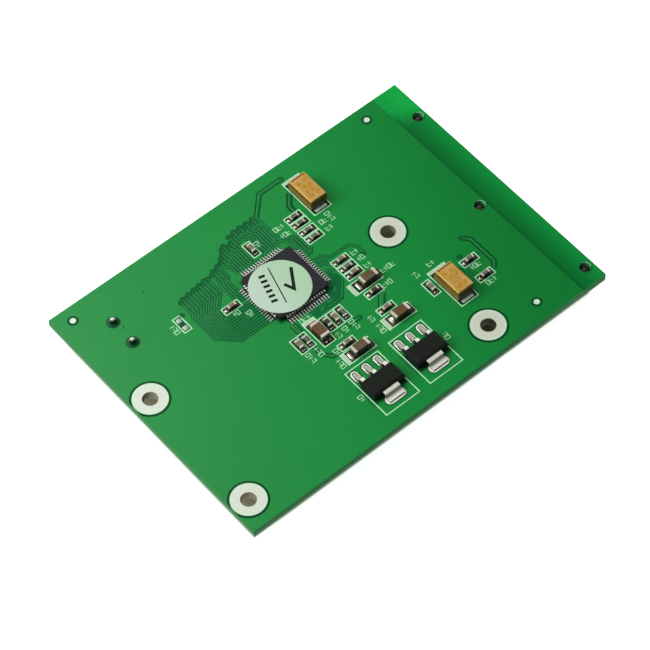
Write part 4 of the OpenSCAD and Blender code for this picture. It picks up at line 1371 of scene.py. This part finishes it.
def glyphMarks(kind):
    # an open box, a box with a tail, or an upright and a crossbar, none of them a letter
    w, h, line = glyph["width"] / 2, glyph["height"] / 2, glyph["line"]
    outlines = [
        [[(-w, -h), (w, -h), (w, h), (-w, h)]],
        [[(-w, h), (-w, -h), (w, -h)], [(0, 0.1), (w, 0.1)]],
        [[(0, -h), (0, h)], [(-w, 0), (-line, 0)], [(line, 0), (w, 0)]],
    ]
    return [strip(path, line, 0, heights["legend"], legendSizes["bevel"], closed=kind == 0)
            for path in outlines[kind]]


glyphs = []
for x, y, count, turn in labels:
    for i in range(count):
        for mark in glyphMarks((i + round(abs(x) + abs(y))) % 3):
            mark = moved(mark, (i - (count - 1) / 2) * glyph["pitch"], 0)
            glyphs.append(moved(mark, x, y, turn))
addPiece("legendPrint", legend, stock["legendInk"])
addPiece("legendBars", legendBars, stock["barInk"])
addPiece("legendGlyphs", glyphs, stock["glyphInk"])
print("legend printed:", len(labels), "labels")

# The sticker's divider and its generic tick and dashes

stickerX, stickerY = nodePlace("inspection_sticker")[:2]
stickerTop = nodeBox("inspection_sticker")[1].z
inkTop = stickerTop + 0.012
marks = [strip([(-0.05, -3.65), (-0.05, 3.65)], 0.2, stickerTop, inkTop, 0.01),
         strip([(1.0, -0.3), (2.1, -1.75), (3.3, 2.3)], 0.55, stickerTop, inkTop, 0.01)]
dash = plate(1.1, 0.5, 0.12, stickerTop, inkTop, 0.004)
marks += [moved(dash, -1.65, -2.55 + 1.02 * i) for i in range(6)]
marks = [moved(mark, stickerX - 0.15, stickerY + 0.45, -sticker["lean"]) for mark in marks]
addPiece("stickerMarks", marks, stock["stickerInk"])

# The underside: pads under every soldered foot, tracks and vias

under = {
    "socketCount": 40,
    "socketPad": (0.3, 1.3),
    "plugCounts": {"sata_signal_contacts": 7, "sata_power_contacts": 15},
    "plugPad": (2.1, 1.0),
    "plugPadX": 0.75,
    "plugEndInset": 0.42,
    "signalTracks": (1, 2, 4, 5),
    "anchorPads": {"sata_plug_anchors": (2.2, 1.9), "ribbon_socket_anchors": (1.9, 2.2)},
    "anchorInset": 0.55,
    "frames": {"crystal_header": 0.6, "ribbon_socket_housing": 0.5},
}

underPads, underGaps, underTracks = [], [], []
low, high = nodeBox("ribbon_socket_contacts")
socketPads = np.linspace(low.x + 0.1, high.x - 0.1, under["socketCount"])
footY = low.y + 0.4
pad = plate(*under["socketPad"], 0.05, 0, heights["pad"], steps=2)
underPads += [moved(pad, x, footY) for x in socketPads]
underGaps.append(moved(film(20.3, 1.6, 0.2), socketPads.mean(), footY))
for x, y in fanVias:
    # from a via straight on and slanting to the nearest pad, or at once to it if there's no room
    nearest = socketPads[np.argmin(abs(socketPads - x))]
    slantY = footY - 1.0 - abs(nearest - x)
    slant = [(x, slantY), (nearest, footY - 1.0 + 1e-3)] if slantY > y + 0.05 else []
    underTracks.append([(x, y), *slant, (nearest, footY - 0.4)])

for node, count in under["plugCounts"].items():
    low, high = nodeBox(node)
    inset, padX = under["plugEndInset"], low.x + under["plugPadX"]
    rows = np.linspace(low.y + inset, high.y - inset, count)
    pad = plate(*under["plugPad"], 0.1, 0, heights["pad"])
    underPads += [moved(pad, padX, y) for y in rows]
    underGaps.append(moved(film(2.5, high.y - low.y + 0.6, 0.2), padX, (low.y + high.y) / 2))
    if node == "sata_signal_contacts":
        for rank, y in enumerate(rows[list(under["signalTracks"])]):
            bends = [(20.5 - rank * 0.9, y), (18.5 - rank * 0.9, y - 2), (4.2 + 0.7 * rank, y - 2)]
            underTracks.append([(low.x + 0.3, y), *bends])

for node, size in under["anchorPads"].items():
    # a pad under each end of the pair, along Y for the plug and along X for the socket
    axis = 1 if node.startswith("sata") else 0
    low, high = nodeBox(node)
    for end, inset in ((low, under["anchorInset"]), (high, -under["anchorInset"])):
        middle = (low + high) / 2
        middle[axis] = end[axis] + inset
        underPads.append(moved(plate(*size, 0.15, 0, heights["pad"]), *middle.xy))

pathGaps, underRaised = layTracks(underTracks)
underGaps += pathGaps
trackEnds = [path[-1] for path in underTracks[-len(under["signalTracks"]):]]
layVias(fanVias + looseVias + trackEnds, underGaps, underRaised)
underGaps += landRings
addPiece("underClearances", underGaps, stock["gapLacquer"], under=True)
addPiece("underTracks", underRaised, stock["trackLacquer"], under=True)
addPiece("underPads", underPads, stock["tinPlate"], under=True)

underLegend = []
for node, margin in under["frames"].items():
    low, high = nodeBox(node)
    x, y = ((low + high) / 2).xy
    sizeX, sizeY = (high - low).xy
    width = min(sizeY + 2 * margin, 2 * (boardHigh.y - 0.3 - y))
    underLegend.append(moved(frameLine(sizeX + 2 * margin, width), x, y))
addPiece("underLegend", underLegend, stock["legendInk"], under=True)
print("underside finished")

# Stage: floor, lamps, sky, dark cards and camera

floorSettings = {
    "side": 3.0,
    "drop": 0.02,
    "colour": (0.74, 0.74, 0.72),
    "underNear": (0.53, 0.40, 0.32),
    "underFar": (0.44, 0.225, 0.20),
    "underBack": (1.0, 0.46, 0.52),
    "edgeTint": (0.13, 0.21, 0.14),
    "leftTint": (0.0, 0.06, 0.01),
    "seen": 0.92,
    "shade": (4.2, 2.6),
    "tintX": (1.95, 0.75),
    "tintY": (2.26, 1.86),
}


def sheet(name, width, height, material):
    # one flat rectangle, in metres
    x, y = width / 2, height / 2
    mesh = bpy.data.meshes.new(name)
    mesh.from_pydata([(-x, -y, 0), (x, -y, 0), (x, y, 0), (-x, y, 0)], [], [(0, 1, 2, 3)])
    mesh.materials.append(material)
    flat = bpy.data.objects.new(name, mesh)
    bpy.context.scene.collection.objects.link(flat)
    return flat


def emptyTree(owner):
    # the shader nodes of a material or sky, with none in place yet
    owner.use_nodes = True
    owner.node_tree.nodes.clear()
    return owner.node_tree


def directlySeen(tree):
    # 1 for what the camera, mirrors and glass see, and 0 for light that falls on things
    path = addNode(tree, "LightPath")
    rays = ("Is Camera Ray", "Is Glossy Ray", "Is Transmission Ray")
    return functools.reduce(Field.larger, [Field(path, ray) for ray in rays])


def beyondEdge(x, y, insideX, insideY):
    # 0 under the board and 1 outside it, with a rise that starts and ends so far inside its edges
    outX = abs(x).step(*(boardHigh.x - inside for inside in insideX))
    outY = abs(y).step(*(boardHigh.y - inside for inside in insideY))
    return outX.larger(outY)


def makeFloorPaper():
    material = bpy.data.materials.new("floorPaper")
    tree = emptyTree(material)
    x, y = (axis / mm for axis in axes(tree)[:2])
    # no glow straight under the board, so the holes look down on its shadow; under the board the
    # paper's colour is painted light and shade, lighter at the left and the back right and darker at
    # the front right, and where the board's walls stand over the floor the glow is tinted green,
    # almost put out by the left wall, as painted shade and reflection of the board
    beyond = beyondEdge(x, y, floorSettings["shade"], floorSettings["shade"])
    left = x.step(boardLow.x + 4, boardLow.x + 3)
    edge = left.mix(floorSettings["edgeTint"], floorSettings["leftTint"])
    tint = beyondEdge(x, y, floorSettings["tintX"], floorSettings["tintY"]).mix(edge, (1, 1, 1))
    shade = x.step(-20, 20).mix(floorSettings["underNear"], floorSettings["underFar"])
    back = x.step(0, 5) * y.step(-6, -2)
    shade = back.mix(shade, floorSettings["underBack"])
    paper = addNode(tree, "BsdfDiffuse", {"Color": beyond.mix(shade, floorSettings["colour"])})
    strength = directlySeen(tree) * (beyond * floorSettings["seen"])
    glow = addNode(tree, "Emission", {"Color": tint, "Strength": strength})
    both = addNode(tree, "AddShader", {0: Field(paper), 1: Field(glow)})
    # from below, and to the lamp down there, the floor isn't in the way
    behind = Field(addNode(tree, "NewGeometry"), "Backfacing")
    gone = behind.larger(Field(addNode(tree, "LightPath"), "Is Shadow Ray"))
    clear = Field(addNode(tree, "BsdfTransparent"))
    shown = addNode(tree, "MixShader", {0: gone, 1: Field(both), 2: clear})
    addNode(tree, "OutputMaterial", {"Surface": Field(shown)})
    return material


floor = sheet("floor", floorSettings["side"], floorSettings["side"], makeFloorPaper())
floor.location.z = cadBox[0].z - floorSettings["drop"] * mm

lamps = {
    "key": {"from": (-0.24, 0.15, 0.23), "size": 0.20, "power": 0.75,
            "colour": (1.0, 0.99, 0.97), "gloss": True},
    "soft": {"from": (-0.26, 0.06, 0.26), "size": 0.50, "power": 0.55,
             "colour": (1.0, 0.99, 0.97), "gloss": False},
    "back": {"from": (-0.08, 0.38, 0.65), "size": 0.34, "power": 1.25,
             "colour": (1.0, 1.0, 1.0), "gloss": True},
    "below": {"from": (0.05, -0.08, -0.30), "size": 0.40, "power": 0.5,
              "colour": (1.0, 1.0, 1.0), "gloss": False},
}


def addLamp(name, settings):
    # a square lamp turned towards the middle of the board
    data = bpy.data.lights.new(name, "AREA")
    data.shape, data.size = "SQUARE", settings["size"]
    data.energy, data.color = settings["power"], settings["colour"]
    lamp = bpy.data.objects.new(name, data)
    lamp.location = settings["from"]
    lamp.rotation_euler = (-Vector(settings["from"])).to_track_quat("-Z", "Y").to_euler()
    lamp.visible_camera = False
    lamp.visible_glossy = settings["gloss"]
    bpy.context.scene.collection.objects.link(lamp)


for name, settings in lamps.items():
    addLamp(name, settings)

skySettings = {
    "high": (0.49, 0.49, 0.49),
    "low": (0.02, 0.02, 0.022),
    "upward": 0.6,
    "backward": 0.6,
    "rise": (-0.2, 0.85),
}


def makeSky():
    world = bpy.data.worlds.new("studio")
    bpy.context.scene.world = world
    tree = emptyTree(world)
    # the sky is brightest high up behind the board
    back, up = axes(tree, "Generated")[1:]
    lift = back * skySettings["backward"] + up * skySettings["upward"]
    shade = lift.step(*skySettings["rise"]).mix(skySettings["low"], skySettings["high"])
    shade = directlySeen(tree).mix(shade, (1, 1, 1))
    background = addNode(tree, "Background", {"Color": shade, "Strength": 1.0})
    addNode(tree, "OutputWorld", {"Surface": Field(background)})


makeSky()

# black cards that only reflections see, for dark tones on the metal and the gloss
cards = {
    "lowCard": {"from": (-0.20, -0.26, 0.12), "size": (0.56, 0.24), "turn": None},
    "highCard": {"from": (0.438, 0.141, 0.656), "size": (0.80, 0.60), "turn": 35.8},
}


def addCard(name, settings):
    # upright to the line towards the board's middle, or level with a turn about the vertical
    black = Paint(name + "Black", Base_Color=(0.01, 0.01, 0.01), Roughness=1.0).material
    card = sheet(name, *settings["size"], black)
    card.location = settings["from"]
    if settings["turn"] is None:
        card.rotation_euler = Vector(settings["from"]).to_track_quat("-Z", "Y").to_euler()
    else:
        card.rotation_euler.z = math.radians(settings["turn"])
    card.visible_camera = card.visible_diffuse = False
    card.visible_shadow = card.visible_transmission = False


for name, settings in cards.items():
    addCard(name, settings)

cameraSettings = {
    "azimuth": -37.96,
    "elevation": 55.59,
    "roll": -2.61,
    "target": (-3.73, -3.77),
    "distance": 484.4,
    "lens": 171.2,
}


def addCamera():
    # on a sphere round its target, turned about its own line of sight
    azimuth = math.radians(cameraSettings["azimuth"])
    elevation = math.radians(cameraSettings["elevation"])
    roll = math.radians(cameraSettings["roll"])
    level = math.cos(elevation)
    back = Vector((math.sin(azimuth) * level, -math.cos(azimuth) * level, math.sin(elevation)))
    right = Vector((0, 0, 1)).cross(back).normalized()
    rolled = right * math.cos(roll) + back.cross(right) * math.sin(roll)
    turned = Matrix((rolled, back.cross(rolled), back)).transposed().to_4x4()
    x, y = cameraSettings["target"]
    target = Vector((x * mm, y * mm, faceHeight))
    data = bpy.data.cameras.new("camera")
    data.lens, data.sensor_width = cameraSettings["lens"], 36
    data.clip_start, data.clip_end = 0.01, 10
    camera = bpy.data.objects.new("camera", data)
    camera.matrix_world = Matrix.Translation(target + back * cameraSettings["distance"] * mm) @ turned
    bpy.context.scene.collection.objects.link(camera)
    bpy.context.scene.camera = camera


addCamera()
bpy.context.scene.view_settings.view_transform = "Standard"
print("stage set")
